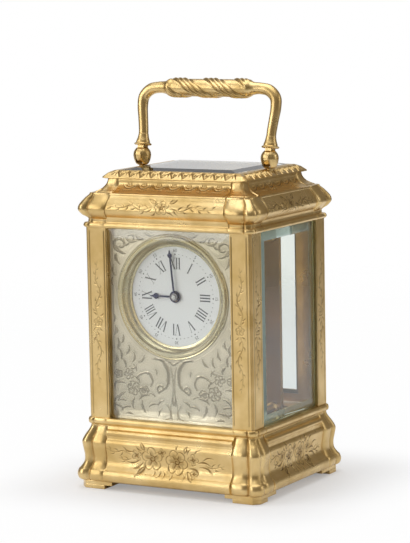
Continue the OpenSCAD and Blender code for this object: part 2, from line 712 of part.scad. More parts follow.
module plate(y) {
    difference() {
        translate([-plate_w / 2, y, plate_z]) cube([plate_w, plate_t, plate_top - plate_z]);
        facing(centre[0], centre[1], y + plate_t + 1) cylinder(h = plate_t + 2, r = arbor_r + slip);
        facing(barrel_at[0], barrel_at[1], y + plate_t + 1) cylinder(h = plate_t + 2, r = barrel_pivot_r + slip);
        facing(third_at[0], third_at[1], y + plate_t + 1) cylinder(h = plate_t + 2, r = pivot_r + slip);
        facing(contrate_at[0], contrate_at[1], y + plate_t + 1) cylinder(h = plate_t + 2, r = pivot_r + slip);
        for (p = platform_screw_spots)
            translate([p[0], y + plate_t / 2, plate_top - 3]) cylinder(h = 4, r = 0.5);
    }
}
module front_plate() {
    color(brass) difference() {
        plate(front_plate_y);
        facing(stud_at[0], stud_at[1], front_plate_y + plate_t + 1) cylinder(h = plate_t + 2, r = stud_r);
    }
}
module back_plate() {
    color(brass) difference() {
        plate(back_plate_y);
        for (p = pillar_spots)
            facing(p[0], p[1], back_plate_y + plate_t + 1) cylinder(h = plate_t + 2, r = 1 + play);
        facing(click_at[0], click_at[1], back_plate_y + plate_t + 1) cylinder(h = plate_t + 2, r = click_screw_r);
        facing(spring_at[0], spring_at[1], back_plate_y + plate_t + 1) cylinder(h = plate_t + 2, r = click_screw_r);
    }
}
module plate_pillars() {
    g = plate_gap;
    turned = concat([[0, 0], [2.7, 0], [2.7, 2]],
        spline([[1.9, 2.6], [1.8, 5], [2.2, g / 2], [1.8, g - 5], [1.9, g - 2.6]], 4),
        [[2.7, g - 2], [2.7, g], [0, g]]);
    color(brass) for (i = [0:3]) facing(pillar_spots[i][0], pillar_spots[i][1], back_plate_y) difference() {
        rotate_extrude() polygon(turned);
        translate([0, 0, -1]) cylinder(h = 6, r = 1);
        if (i < 2)
            translate([0, 0, g / 2]) rotate([90, 0, 0]) cylinder(h = 9, r = movement_screw_r);
    }
}
module plate_screws() {
    color(steel) for (p = pillar_spots)
        translate([p[0], back_plate_y + plate_t, p[1]]) rotate([90, 0, 0]) screw_up(0.95, plate_t + 4.5, 2, 1.1);
}

// Gear outlines: straight-flanked teeth with rounded corners left to the finish
function tooth(a, pitch, r_root, r_pitch, r_tip, share) = [
    for (c = [[r_root, -share * 0.62], [r_pitch, -share / 2], [r_tip, -share * 0.22],
              [r_tip, share * 0.22], [r_pitch, share / 2], [r_root, share * 0.62]])
        [c[0] * cos(a + c[1] * pitch), c[0] * sin(a + c[1] * pitch)]];
module gear(teeth, mod, t, phase, share = 0.42, add = 0.9, ded = 1.2) {
    pitch = 360 / teeth;
    r = teeth * mod / 2;
    linear_extrude(height = t)
        polygon([for (i = [0:teeth - 1]) each tooth(phase + i * pitch, pitch, r - ded * mod, r, r + add * mod, share)]);
}
// Phase of a gear that meshes with another, whose tooth stands at phi, in the direction beta from that one
function mesh_phase(beta, phi, teeth, other) = beta + 180 + ((beta - phi) * teeth / 360 - 0.5) * 360 / other;
module crossings(r_in, r_out, t, arms, arm_w) {
    for (i = [0:arms - 1])
        rotate(i * 360 / arms)
            translate([0, 0, -1])
                linear_extrude(height = t + 2)
                    polygon(concat(
                        arc(r_out, asin(arm_w / 2 / r_out), 360 / arms - asin(arm_w / 2 / r_out), 8),
                        [for (k = [4:-1:0])
                            let (a0 = asin(arm_w / 2 / r_in), a = a0 + (360 / arms - 2 * a0) * k / 4)
                                [r_in * cos(a), r_in * sin(a)]]));
}
module wheel(teeth, mod, t, phase, hub, rim, arms, bore) {
    r_root = teeth * mod / 2 - 1.2 * mod;
    difference() {
        gear(teeth, mod, t, phase);
        crossings(hub, r_root - rim, t, arms, 1.6);
        translate([0, 0, -1]) cylinder(h = t + 2, r = bore);
    }
}
pinion_share = 0.36;

// Hands group: the centre arbor carries the minute hand and has the setting square at the back
square_out = 5.5;
tip_y = minute_hand_y - hand_t - 0.75;
module centre_arbor() {
    color(steel) {
        facing(centre[0], centre[1], back_plate_y + plate_t + 0.3)
            cylinder(h = back_plate_y + plate_t + 0.3 - tip_y, r = arbor_r);
        translate([centre[0] - 1.1, back_plate_y + plate_t + 0.3, centre[1] - 1.1]) cube([2.2, square_out, 2.2]);
    }
}
cannon_leaves = 12;
minute_teeth = 36;
minute_leaves = 10;
hour_teeth = 40;
motion_dist = motion_mod * (cannon_leaves + minute_teeth) / 2;
hour_mod = 2 * motion_dist / (minute_leaves + hour_teeth);
minute_gear_y = front_plate_y - 1.4;
minute_gear_t = 1.2;
hour_gear_y = minute_gear_y - minute_gear_t - 1;
hour_gear_t = 1;
module cannon_pinion() {
    y0 = front_plate_y - 0.3;
    color(steel) facing(centre[0], centre[1], y0) difference() {
        union() {
            cylinder(h = y0 - minute_hand_y + hand_t, r = cannon_r);
            translate([0, 0, y0 - minute_gear_y - 0.4])
                gear(cannon_leaves, motion_mod, minute_gear_t + 0.8, 0, pinion_share);
        }
        translate([0, 0, -1]) cylinder(h = 30, r = arbor_r);
    }
}
stud_dir = 180;
stud_at = centre + motion_dist * [cos(stud_dir), sin(stud_dir)];
stud_r = 0.8;
module minute_wheel() {
    color(brass) difference() {
        union() {
            facing(stud_at[0], stud_at[1], minute_gear_y)
                wheel(minute_teeth, motion_mod, minute_gear_t, mesh_phase(stud_dir, 0, cannon_leaves, minute_teeth),
                    2.6, 1, 4, stud_r);
            facing(stud_at[0], stud_at[1], hour_gear_y + 0.3)
                gear(minute_leaves, hour_mod, hour_gear_t + 0.6, 0, pinion_share);
            facing(stud_at[0], stud_at[1], minute_gear_y)
                cylinder(h = minute_gear_y - hour_gear_y, r = 1.7);
        }
        facing(stud_at[0], stud_at[1], minute_gear_y + 1) cylinder(h = 12, r = stud_r + slip);
    }
}
module minute_stud() {
    color(steel) facing(stud_at[0], stud_at[1], front_plate_y + plate_t) {
        cylinder(h = plate_t + front_plate_y - hour_gear_y + hour_gear_t + 0.6, r = stud_r);
        translate([0, 0, plate_t]) cylinder(h = 1, r = 1.6);
        translate([0, 0, plate_t + front_plate_y - hour_gear_y + hour_gear_t + 0.5]) cylinder(h = 0.4, r = 1.4);
    }
}
module hour_wheel() {
    color(brass) facing(centre[0], centre[1], hour_gear_y) difference() {
        union() {
            wheel(hour_teeth, hour_mod, hour_gear_t, mesh_phase(stud_dir + 180, 0, minute_leaves, hour_teeth),
                3.4, 1, 4, cannon_r);
            cylinder(h = hour_gear_y - hour_hand_y + hand_t, r = pipe_r);
        }
        translate([0, 0, -1]) cylinder(h = 12, r = cannon_r + slip);
    }
}

// Going train
great_y = gap_y + 3;
great_t = 1.8;
drum_y = great_y + 0.2;
drum_room = 14;
drum_len = plate_gap - drum_room;
module barrel() {
    color(brass) difference() {
        union() {
            facing(barrel_at[0], barrel_at[1], great_y + great_t)
                gear(great_teeth, great_mod, great_t, 0);
            facing(barrel_at[0], barrel_at[1], great_y + drum_len) cylinder(h = drum_len - eps, r = barrel_r);
        }
        facing(barrel_at[0], barrel_at[1], great_y + drum_len + 1)
            cylinder(h = drum_len - great_t + 1, r = barrel_r - 0.8);
        facing(barrel_at[0], barrel_at[1], great_y + 5) cylinder(h = 9, r = barrel_pivot_r + slip);
    }
}
module barrel_cover() {
    color(brass) facing(barrel_at[0], barrel_at[1], great_y + drum_len) difference() {
        cylinder(h = 1, r = barrel_r - 0.8 - 0.02);
        translate([0, 0, -1]) cylinder(h = 3, r = barrel_pivot_r + slip);
    }
}
spring_strip = 0.35;
spring_coils = 9;
spring_in = 4.4;
spring_out = barrel_r - 1.6;
module mainspring() {
    steps = spring_coils * 20;
    function coil_r(i) = spring_in + (spring_out - spring_in) * i / steps;
    color(blued) facing(barrel_at[0], barrel_at[1], great_y + drum_len - 1.6)
        linear_extrude(height = drum_len - great_t - 2.2)
            polygon(concat(
                [for (i = [0:steps]) coil_r(i) * [cos(18 * i), sin(18 * i)]],
                [for (i = [steps:-1:0]) (coil_r(i) - spring_strip) * [cos(18 * i), sin(18 * i)]]));
}
ratchet_teeth = 24;
ratchet_r = 7;
ratchet_t = 1.2;
ratchet_y = back_plate_y + plate_t + 0.3;
module winding_arbor() {
    y_end = back_plate_y + plate_t + 0.2;
    color(steel) difference() {
        union() {
            facing(barrel_at[0], barrel_at[1], y_end)
                cylinder(h = y_end - front_plate_y, r = barrel_pivot_r);
            facing(barrel_at[0], barrel_at[1], great_y + drum_len - 1.4)
                cylinder(h = drum_len - great_t - 1.8, r = spring_in - 0.8);
            translate([barrel_at[0] - 1.1, y_end, barrel_at[1] - 1.1]) cube([2.2, square_out + 1.6, 2.2]);
        }
    }
}
module ratchet_wheel() {
    step = 360 / ratchet_teeth;
    color(steel) facing(barrel_at[0], barrel_at[1], ratchet_y + ratchet_t) difference() {
        linear_extrude(height = ratchet_t)
            polygon([for (i = [0:ratchet_teeth - 1]) each
                [(ratchet_r - 0.9) * [cos(i * step), sin(i * step)],
                 ratchet_r * [cos(i * step + 0.5), sin(i * step + 0.5)],
                 ratchet_r * [cos(i * step + 2), sin(i * step + 2)]]]);
        translate([-1.1 - slip, -1.1 - slip, -1]) cube([2.2 + 2 * slip, 2.2 + 2 * slip, ratchet_t + 2]);
    }
}
click_dir = 60;
click_arm = 8.5;
click_screw_r = 0.8;
click_tip = barrel_at + (ratchet_r + 0.1) * [cos(click_dir), sin(click_dir)];
click_at = click_tip + click_arm * [cos(click_dir - 78), sin(click_dir - 78)];
module click() {
    dir = atan2(click_tip[1] - click_at[1], click_tip[0] - click_at[0]);
    color(steel) facing(click_at[0], click_at[1], ratchet_y + ratchet_t) rotate(dir) difference() {
        linear_extrude(height = ratchet_t) union() {
            circle(r = 2);
            polygon([[0, -2], [click_arm - 3, -1.3], [click_arm - 0.6, -0.8], [click_arm, -0.1], [click_arm, 0],
                [click_arm - 2, 0.4], [click_arm - 4, 1.2], [0, 2]]);
        }
        translate([0, 0, -1]) cylinder(h = 4, r = click_screw_r + slip);
    }
}
// The click spring presses on the back of the click, as far along its arm as spring_reach
spring_reach = 3.5;
spring_gap = 0.45;
click_turn = atan2(click_tip[1] - click_at[1], click_tip[0] - click_at[0]);
spring_tip = click_at + spring_reach * [cos(click_turn), sin(click_turn)]
    + (1.6 + spring_gap) * [cos(click_turn - 90), sin(click_turn - 90)];
spring_at = spring_tip + [3, 6.5];
module click_screws() {
    color(steel) for (s = [[click_at, 1.7], [spring_at, 1.4]])
        translate([s[0][0], ratchet_y + ratchet_t + play, s[0][1]]) rotate([90, 0, 0])
            screw_up(click_screw_r, ratchet_t + 2, s[1], 0.8);
}
module click_spring() {
    across = [cos(click_turn), sin(click_turn)];
    color(steel) facing(0, 0, ratchet_y + ratchet_t) difference() {
        union() {
            translate([spring_at[0], spring_at[1], 0]) cylinder(h = ratchet_t, r = 1.6);
            linear_extrude(height = ratchet_t)
                polygon([spring_at - 1.5 * across, spring_at - 0.9 * across, spring_tip, spring_tip - 0.6 * across]);
        }
        translate([spring_at[0], spring_at[1], -1]) cylinder(h = 4, r = click_screw_r + slip);
    }
}

centre_wheel_y = back_plate_y - 4;
centre_wheel_t = 1.2;
module centre_wheel() {
    beta = barrel_dir - 180;
    color(brass) difference() {
        union() {
            facing(centre[0], centre[1], centre_wheel_y)
                wheel(centre_teeth, centre_mod, centre_wheel_t, 0, 3, 1.4, 5, arbor_r + slip);
            facing(centre[0], centre[1], great_y + great_t + 0.8)
                gear(centre_leaves, great_mod, great_t + 1.6, mesh_phase(beta, 0, great_teeth, centre_leaves),
                    pinion_share);
            facing(centre[0], centre[1], centre_wheel_y)
                cylinder(h = centre_wheel_y - great_y, r = 1.6);
        }
        facing(centre[0], centre[1], back_plate_y + 1) cylinder(h = plate_gap + 4, r = arbor_r + slip);
    }
}
contrate_in = 11;
third_in = 5.6;
contrate_y = back_plate_y - contrate_in;
third_wheel_y = contrate_y - third_in;
third_wheel_t = 1.1;
module third_wheel() {
    color(brass) {
        facing(third_at[0], third_at[1], back_plate_y + plate_t)
            cylinder(h = plate_gap + 2 * plate_t, r = pivot_r);
        facing(third_at[0], third_at[1], back_plate_y - 0.2)
            cylinder(h = plate_gap - 0.4, r = 0.7);
        facing(third_at[0], third_at[1], centre_wheel_y + 1)
            gear(third_leaves, centre_mod, centre_wheel_t + 2,
                mesh_phase(third_dir, 0, centre_teeth, third_leaves), pinion_share);
        facing(third_at[0], third_at[1], third_wheel_y)
            wheel(third_teeth, third_mod, third_wheel_t, 0, 2.4, 1.2, 5, 0.3);
    }
}
contrate_web = 0.9;
crown_root = contrate_y + 1.4;
crown_tip = crown_root + 0.64;
crown_w = 1;
module contrate_wheel() {
    color(brass) {
        facing(contrate_at[0], contrate_at[1], back_plate_y + plate_t)
            cylinder(h = plate_gap + 2 * plate_t, r = pivot_r);
        facing(contrate_at[0], contrate_at[1], back_plate_y - 0.2)
            cylinder(h = plate_gap - 0.4, r = 0.65);
        facing(contrate_at[0], contrate_at[1], third_wheel_y + 1)
            gear(contrate_leaves, third_mod, third_wheel_t + 2,
                mesh_phase(contrate_dir, 0, third_teeth, contrate_leaves), pinion_share);
        facing(contrate_at[0], contrate_at[1], contrate_y + contrate_web) difference() {
            cylinder(h = contrate_web, r = contrate_r + crown_w / 2);
            crossings(1.8, contrate_r - crown_w / 2 - 0.3, contrate_web, 4, 1.3);
            translate([0, 0, -1]) cylinder(h = 4, r = 0.3);
        }
        facing(contrate_at[0], contrate_at[1], crown_root + eps) difference() {
            cylinder(h = crown_root - contrate_y, r = contrate_r + crown_w / 2);
            translate([0, 0, -1]) cylinder(h = 4, r = contrate_r - crown_w / 2);
        }
        for (i = [0:contrate_teeth - 1])
            translate([contrate_at[0], crown_root, contrate_at[1]])
                rotate([0, 360 * (i + 0.5) / contrate_teeth, 0])
                    crown_tooth();
    }
}
module crown_tooth() {
    p = PI * contrate_mod;
    translate([0, 0, contrate_r - crown_w / 2 + 0.02])
        linear_extrude(height = crown_w - 0.04)
            polygon([[-0.24 * p, -0.1], [-0.24 * p, 0], [-0.19 * p, 0.3], [-0.08 * p, crown_tip - crown_root],
                [0.08 * p, crown_tip - crown_root], [0.19 * p, 0.3], [0.24 * p, 0], [0.24 * p, -0.1]]);
}

// Platform escapement, lying on top of the plates under the top pane
platform_z = plate_top;
platform_t = 1.6;
platform_w = 36;
deck_z = platform_z + platform_t;
escape_at = [contrate_at[0], crown_root + 0.36 + contrate_mod * escape_leaves / 2];
lever_dir = 221.5;
escape_r = 4.2;
pallet_dist = escape_r / cos(30);
pallet_at = escape_at + pallet_dist * [cos(lever_dir), sin(lever_dir)];
balance_dist = balance_r + 0.6;
balance_at = pallet_at + balance_dist * [cos(lever_dir), sin(lever_dir)];
platform_screw_spots = [[3 - platform_w / 2, 0], [platform_w / 2 - 3, 0]];
escape_z = deck_z + 1.2;
lever_z = deck_z + 1.2;
bridge_z = deck_z + 2.3;
balance_z = deck_z + 3.7;
cock_z = deck_z + 6.6;
module platform() {
    color(brass) difference() {
        translate([-platform_w / 2, front_plate_y, platform_z])
            cube([platform_w, back_plate_y + plate_t - front_plate_y, platform_t]);
        translate([escape_at[0], escape_at[1], platform_z - 1]) cylinder(h = 4, r = 1.5);
        translate([pallet_at[0], pallet_at[1], platform_z - 1]) cylinder(h = 4, r = 0.2 + slip);
        translate([balance_at[0], balance_at[1], platform_z - 1]) cylinder(h = 4, r = 0.2 + slip);
        for (p = platform_screw_spots)
            for (y = [front_plate_y, back_plate_y])
                translate([p[0], y + plate_t / 2, platform_z - 1]) cylinder(h = 4, r = 0.5 + slip);
        for (p = concat(bridge_spots, cock_spots))
            translate([p[0], p[1], platform_z - 1]) cylinder(h = 4, r = 0.5);
    }
}
module platform_screws() {
    color(steel) {
        for (p = platform_screw_spots)
            for (y = [front_plate_y, back_plate_y])
                translate([p[0], y + plate_t / 2, deck_z]) rotate([180, 0, 0])
                    screw_up(0.48, platform_t + 2.5, 1.1, 0.6);
        for (p = bridge_spots)
            translate([p[0], p[1], bridge_z + 0.8]) rotate([180, 0, 0]) screw_up(0.48, 3.8, 0.9, 0.5);
        for (p = cock_spots)
            translate([p[0], p[1], cock_z + 1]) rotate([180, 0, 0]) screw_up(0.48, 8, 1.2, 0.6);
    }
}
potence_drop = 4.6;
module potence() {
    color(brass) difference() {
        union() {
            translate([escape_at[0] - 1.4, escape_at[1] + 2.1, platform_z - potence_drop])
                cube([2.8, 1.6, potence_drop]);
            translate([escape_at[0] - 1.4, escape_at[1] - 0.45, platform_z - potence_drop])
                cube([2.8, 3, 0.8]);
        }
        translate([escape_at[0], escape_at[1], platform_z - potence_drop - 1]) cylinder(h = 3, r = 0.2 + slip);
    }
}
escape_phase = lever_dir - 30 + 6;
module escape_wheel() {
    step = 360 / escape_teeth;
    r_root = escape_r - 1;
    color(steel) translate([escape_at[0], escape_at[1], 0]) {
        translate([0, 0, escape_z]) difference() {
            linear_extrude(height = 0.4)
                polygon([for (i = [0:escape_teeth - 1]) each
                    [for (c = [[r_root, -5.5], [escape_r, -1], [escape_r, 1], [r_root, -1]])
                        c[0] * [cos(escape_phase + i * step + c[1]), sin(escape_phase + i * step + c[1])]]]);
            crossings(0.9, r_root - 0.5, 0.4, 5, 0.5);
        }
        translate([0, 0, platform_z - potence_drop + 0.9]) cylinder(h = bridge_z - 0.2 - platform_z + potence_drop - 0.9, r = 0.4);
        translate([0, 0, platform_z - potence_drop + 0.1]) cylinder(h = bridge_z - platform_z + potence_drop + 0.5, r = 0.2);
        translate([0, 0, contrate_at[1] + contrate_r - 1.2])
            gear(escape_leaves, contrate_mod, 2.4, -90, 0.34, 0.8, 1.1);
    }
}
stone_w = 0.9;
stone_t = 0.4;
lever_t = 0.5;
// The stones stand clear of the wheel's tips by stone_gap with the lever in the middle of its swing
stone_gap = 0.3;
arm_gap = 0.55;
arm_w = 0.7;
module pallet_lever() {
    reach = balance_dist - roller_r - 0.45;
    tangent = pallet_dist / 2;
    color([0.7, 0.1, 0.15]) translate([pallet_at[0], pallet_at[1], lever_z]) rotate(lever_dir)
        for (s = [-1, 1])
            rotate(s * 60) translate([-tangent, -s * (stone_gap + stone_w / 2), 0])
                translate([-stone_t / 2, -stone_w / 2, 0]) cube([stone_t, stone_w, lever_t]);
    color(steel) translate([pallet_at[0], pallet_at[1], lever_z]) rotate(lever_dir) {
        linear_extrude(height = lever_t) difference() {
            union() {
                circle(r = 0.8);
                polygon([[0, -0.35], [reach - 1, -0.3], [reach - 0.5, -0.8], [reach, -0.75], [reach - 0.2, -0.35],
                    [reach - 0.6, -0.3], [reach - 0.6, 0.3], [reach - 0.2, 0.35], [reach, 0.75], [reach - 0.5, 0.8],
                    [reach - 1, 0.3], [0, 0.35]]);
                for (s = [-1, 1])
                    rotate(s * 60) translate([-tangent - stone_t, -arm_w / 2 - s * (arm_gap + arm_w / 2)])
                        square([tangent + stone_t, arm_w]);
            }
            translate([-pallet_dist, 0]) circle(r = escape_r + arm_gap);
        }
        translate([0, 0, platform_z + 0.4 - lever_z]) cylinder(h = bridge_z + 0.6 - platform_z - 0.4, r = 0.2);
        translate([0, 0, deck_z + 0.1 - lever_z]) cylinder(h = bridge_z - deck_z - 0.2, r = 0.35);
    }
}

bridge_side = [-sin(lever_dir), cos(lever_dir)];
bridge_mid = (escape_at + pallet_at) / 2;
bridge_reach = 6.4;
bridge_spots = [bridge_mid + bridge_reach * bridge_side, bridge_mid - bridge_reach * bridge_side];
bridge_end = bridge_reach + 1.2;
module lever_bridge() {
    color(brass) difference() {
        union() {
            translate([bridge_mid[0], bridge_mid[1], bridge_z]) rotate(lever_dir)
                linear_extrude(height = 0.8)
                    polygon([[-3.2, -1.2], [-1.2, -2], [-1.2, -bridge_end], [1.2, -bridge_end], [1.2, -2],
                        [3.2, -1.2], [3.2, 1.2], [1.2, 2], [1.2, bridge_end], [-1.2, bridge_end], [-1.2, 2],
                        [-3.2, 1.2]]);
            for (p = bridge_spots)
                translate([p[0], p[1], deck_z]) cylinder(h = bridge_z - deck_z + 0.1, r = 1.1);
        }
        for (p = [escape_at, pallet_at])
            translate([p[0], p[1], bridge_z - 1]) cylinder(h = 3, r = 0.2 + slip);
        for (p = bridge_spots)
            translate([p[0], p[1], deck_z - 1]) cylinder(h = 6, r = 0.5);
    }
}
roller_r = 1.5;
module balance_wheel() {
    color([0.83, 0.70, 0.38]) translate([balance_at[0], balance_at[1], balance_z]) {
        difference() {
            cylinder(h = 1, r = balance_r);
            crossings(1.1, balance_r - 0.9, 1, 2, 1.1);
        }
        for (i = [0:11])
            rotate(i * 30 + 15) translate([balance_r - 0.2, 0, 0.5]) rotate([0, 90, 0]) cylinder(h = 0.55, r = 0.35);
    }
    color(steel) translate([balance_at[0], balance_at[1], 0]) {
        translate([0, 0, platform_z + 0.4]) cylinder(h = cock_z + 0.6 - platform_z - 0.4, r = 0.2);
        translate([0, 0, deck_z + 0.2]) cylinder(h = cock_z - 0.2 - deck_z - 0.2, r = 0.45);
        translate([0, 0, bridge_z - 0.2]) cylinder(h = 0.5, r = roller_r + 0.4);
        translate([0, 0, hair_z - 0.3]) cylinder(h = 0.9, r = 0.9);
    }
    color([0.7, 0.1, 0.15]) translate([balance_at[0], balance_at[1], 0]) rotate(lever_dir + 180)
        translate([roller_r, 0, lever_z]) cylinder(h = bridge_z - lever_z, r = 0.2);
}
hair_z = balance_z + 1.5;
hair_in = 1.15;
hair_out = 5.3;
hair_t = 0.14;
hair_steps = hair_turns * 24;
function hair_point(i, side) = let (r = hair_in + (hair_out - hair_in) * i / hair_steps + side * hair_t / 2, a = 15 * i)
    [r * cos(a), r * sin(a)];
hair_gap = min([for (i = [0:hair_steps - 24]) norm(hair_point(i + 24, -1) - hair_point(i, 1))]);
echo(hairspring_gap_mm = hair_gap);
module hairspring() {
    color(blued) translate([balance_at[0], balance_at[1], hair_z])
        linear_extrude(height = 0.45)
            polygon(concat([for (i = [0:hair_steps]) hair_point(i, 1)],
                [for (i = [hair_steps:-1:0]) hair_point(i, -1)]));
}
index_z = cock_z + 1.05;
index_dir = 118;
curb_dir = index_dir + 150;
curb_r = hair_out - (hair_out - hair_in) / hair_turns * (1 - curb_dir / 360);
boss_r = 0.85;
cock_foot = 11;
cock_spots = [balance_at + [-cock_foot, 2.2], balance_at + [-cock_foot, -2.2]];
module balance_cock() {
    color(brass) difference() {
        union() {
            translate([balance_at[0], balance_at[1], cock_z]) linear_extrude(height = 1) union() {
                circle(r = 2.6);
                translate([0, -0.7]) square([hair_out + 1.1, 1.4]);
                polygon([[0, -2.2], [-cock_foot + 1.6, -3.6], [-cock_foot - 1.8, -3.6], [-cock_foot - 1.8, 3.6],
                    [-cock_foot + 1.6, 3.6], [0, 2.2]]);
            }
            translate([balance_at[0] - cock_foot - 1.7, balance_at[1] - 3.5, deck_z])
                cube([3.1, 7, cock_z - deck_z + 0.5]);
            translate([balance_at[0] + hair_out + 0.1, balance_at[1] - 0.4, hair_z - 0.2]) cube([0.8, 0.8, cock_z - hair_z + 0.7]);
            translate([balance_at[0], balance_at[1], cock_z + 0.5]) cylinder(h = 1.2, r = boss_r);
        }
        translate([balance_at[0], balance_at[1], cock_z - 1]) cylinder(h = 3, r = 0.2 + slip);
        for (p = cock_spots)
            translate([p[0], p[1], deck_z - 1]) cylinder(h = 12, r = 0.5);
    }
}
module regulator_index() {
    color(steel) translate([balance_at[0], balance_at[1], index_z]) difference() {
        union() {
            cylinder(h = 0.5, r = 2);
            rotate(index_dir) translate([0, -0.4, 0]) cube([8, 0.8, 0.5]);
            rotate(curb_dir) translate([0, -0.5, 0]) cube([hair_out + 0.4, 1, 0.5]);
            rotate(curb_dir) for (d = [-0.3, 0.3])
                translate([curb_r + d, 0, hair_z - index_z]) cylinder(h = index_z - hair_z + 0.2, r = 0.13);
        }
        translate([0, 0, -1]) cylinder(h = 3, r = boss_r + slip);
    }
}

base_frame();
seat_plate();
seat_screws();
movement_screws();
case_screws();
pillar_front_left();
pillar_front_right();
pillar_rear_left();
pillar_rear_right();
cornice();
lid_frame();
glass_top();
glass_front();
glass_left();
glass_right();
door_frame();
glass_door();
door_pins();
door_knob();
knob_left();
knob_right();
handle();
handle_pins();
dial_mask();
bezel_ring();
enamel_dial();
dial_plate();
hour_hand();
minute_hand();
hand_collet();
front_plate();
back_plate();
plate_pillars();
plate_screws();
centre_arbor();
cannon_pinion();
minute_wheel();
minute_stud();
hour_wheel();
barrel();
barrel_cover();
mainspring();
winding_arbor();
ratchet_wheel();
click();
click_screws();
click_spring();
centre_wheel();
third_wheel();
contrate_wheel();
platform();
platform_screws();
potence();
escape_wheel();
pallet_lever();
lever_bridge();
balance_wheel();
hairspring();
balance_cock();
regulator_index();
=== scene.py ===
import bpy
import json
import numpy as np
from math import atan2, cos, degrees, radians, sin, sqrt
from mathutils import Matrix, Vector


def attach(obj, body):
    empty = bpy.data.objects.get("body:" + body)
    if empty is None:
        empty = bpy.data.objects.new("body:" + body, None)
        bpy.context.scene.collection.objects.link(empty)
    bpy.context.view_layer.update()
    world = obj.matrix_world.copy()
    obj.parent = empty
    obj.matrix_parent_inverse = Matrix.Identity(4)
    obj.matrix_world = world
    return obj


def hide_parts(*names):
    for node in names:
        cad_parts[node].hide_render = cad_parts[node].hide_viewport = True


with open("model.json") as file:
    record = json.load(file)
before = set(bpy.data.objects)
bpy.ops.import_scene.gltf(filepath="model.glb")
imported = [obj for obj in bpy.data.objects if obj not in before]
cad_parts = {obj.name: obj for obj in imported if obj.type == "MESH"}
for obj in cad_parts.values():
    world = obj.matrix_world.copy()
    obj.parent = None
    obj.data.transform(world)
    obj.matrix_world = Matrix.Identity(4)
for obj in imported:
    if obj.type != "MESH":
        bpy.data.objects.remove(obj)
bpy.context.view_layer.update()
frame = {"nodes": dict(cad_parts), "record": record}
nodes = frame["nodes"]
print("frame loaded:", len(nodes), "nodes")

mm = 0.001
caseSize = dict(halfWidth=41.0, halfDepth=35.3, baseTop=31.3, corniceFoot=115.6, lidFoot=136.5, lidTop=140.0,
                openX=30.8, openY=26.0, footHeight=3.4, panelSink=0.8, cant=1.3, grooveNear=0.7,
                grooveFar=3.5)


# Catmull-Rom through the points of p, n steps for each pair
def curveThrough(p, n=6):
    p = np.asarray(p, float)
    q = np.vstack([p[:1], p, p[-1:]])
    t = np.linspace(0, 1, n, endpoint=False)[:, None]
    out = []
    for a, b, c, d in zip(q[:-3], q[1:-2], q[2:-1], q[3:]):
        bend, twist = 2 * a - 5 * b + 4 * c - d, 3 * b - 3 * c + d - a
        out.append(0.5 * (2 * b + (c - a) * t + bend * t ** 2 + twist * t ** 3))
    return np.vstack(out + [p[-1:]])


# A curve walked at even steps of its own length
def evenSteps(p, count):
    s = np.r_[0, np.cumsum(np.linalg.norm(np.diff(p, axis=0), axis=1))]
    at = np.linspace(0, s[-1], count)
    return np.stack([np.interp(at, s, p[:, k]) for k in range(p.shape[1])], 1)


# Quads between neighbouring rows and columns of a grid of points, wrapped where asked
def gridFaces(rows, cols, wrapRows=False, wrapCols=False, keep=None):
    r = np.arange(rows if wrapRows else rows - 1)
    c = np.arange(cols if wrapCols else cols - 1)
    a, b = np.meshgrid(r, c, indexing="ij")
    a2, b2 = (a + 1) % rows, (b + 1) % cols
    quads = np.stack([a * cols + b, a * cols + b2, a2 * cols + b2, a2 * cols + b], -1).reshape(-1, 4)
    return quads if keep is None else quads[keep.reshape(-1)]


# The two end faces of a tube that is a grid of closed rings
def endCaps(rows, cols):
    return [list(range(cols))[::-1], list(range((rows - 1) * cols, rows * cols))]


# A new object in the scene
def addObject(name, data):
    obj = bpy.data.objects.new(name, data)
    bpy.context.scene.collection.objects.link(obj)
    return obj


# A mesh from points in mm, equal faces and any larger caps; extra is a dictionary of one number per point,
# and edges that turn by more than sharp degrees stay sharp
def makePiece(name, points, faces, body, material, extra=None, smooth=True, replaced=(),
              flip=False, caps=(), sharp=0):
    pts = np.asarray(points, float).reshape(-1, 3) * mm
    faces = np.asarray(faces)
    turn = slice(None, None, -1 if flip else 1)
    loops = np.concatenate([faces[:, turn].ravel()] + [np.asarray(c)[turn] for c in caps]).astype(np.int32)
    counts = np.r_[np.full(len(faces), faces.shape[1]), [len(c) for c in caps]].astype(np.int32)
    me = bpy.data.meshes.new(name)
    me.vertices.add(len(pts))
    me.vertices.foreach_set("co", pts.ravel())
    me.loops.add(len(loops))
    me.loops.foreach_set("vertex_index", loops)
    me.polygons.add(len(counts))
    me.polygons.foreach_set("loop_start", np.r_[0, np.cumsum(counts)[:-1]].astype(np.int32))
    me.polygons.foreach_set("loop_total", counts)
    me.update(calc_edges=True)
    me.polygons.foreach_set("use_smooth", np.full(len(counts), smooth))
    for key, value in (extra or {}).items():
        layer = me.attributes.new(key, "FLOAT", "POINT")
        layer.data.foreach_set("value", np.asarray(value, np.float32).ravel())
    me.materials.append(material)
    if sharp:
        me.set_sharp_from_angle(angle=radians(sharp))
    obj = addObject(name, me)
    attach(obj, body)
    if replaced:
        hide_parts(*replaced)
    return obj


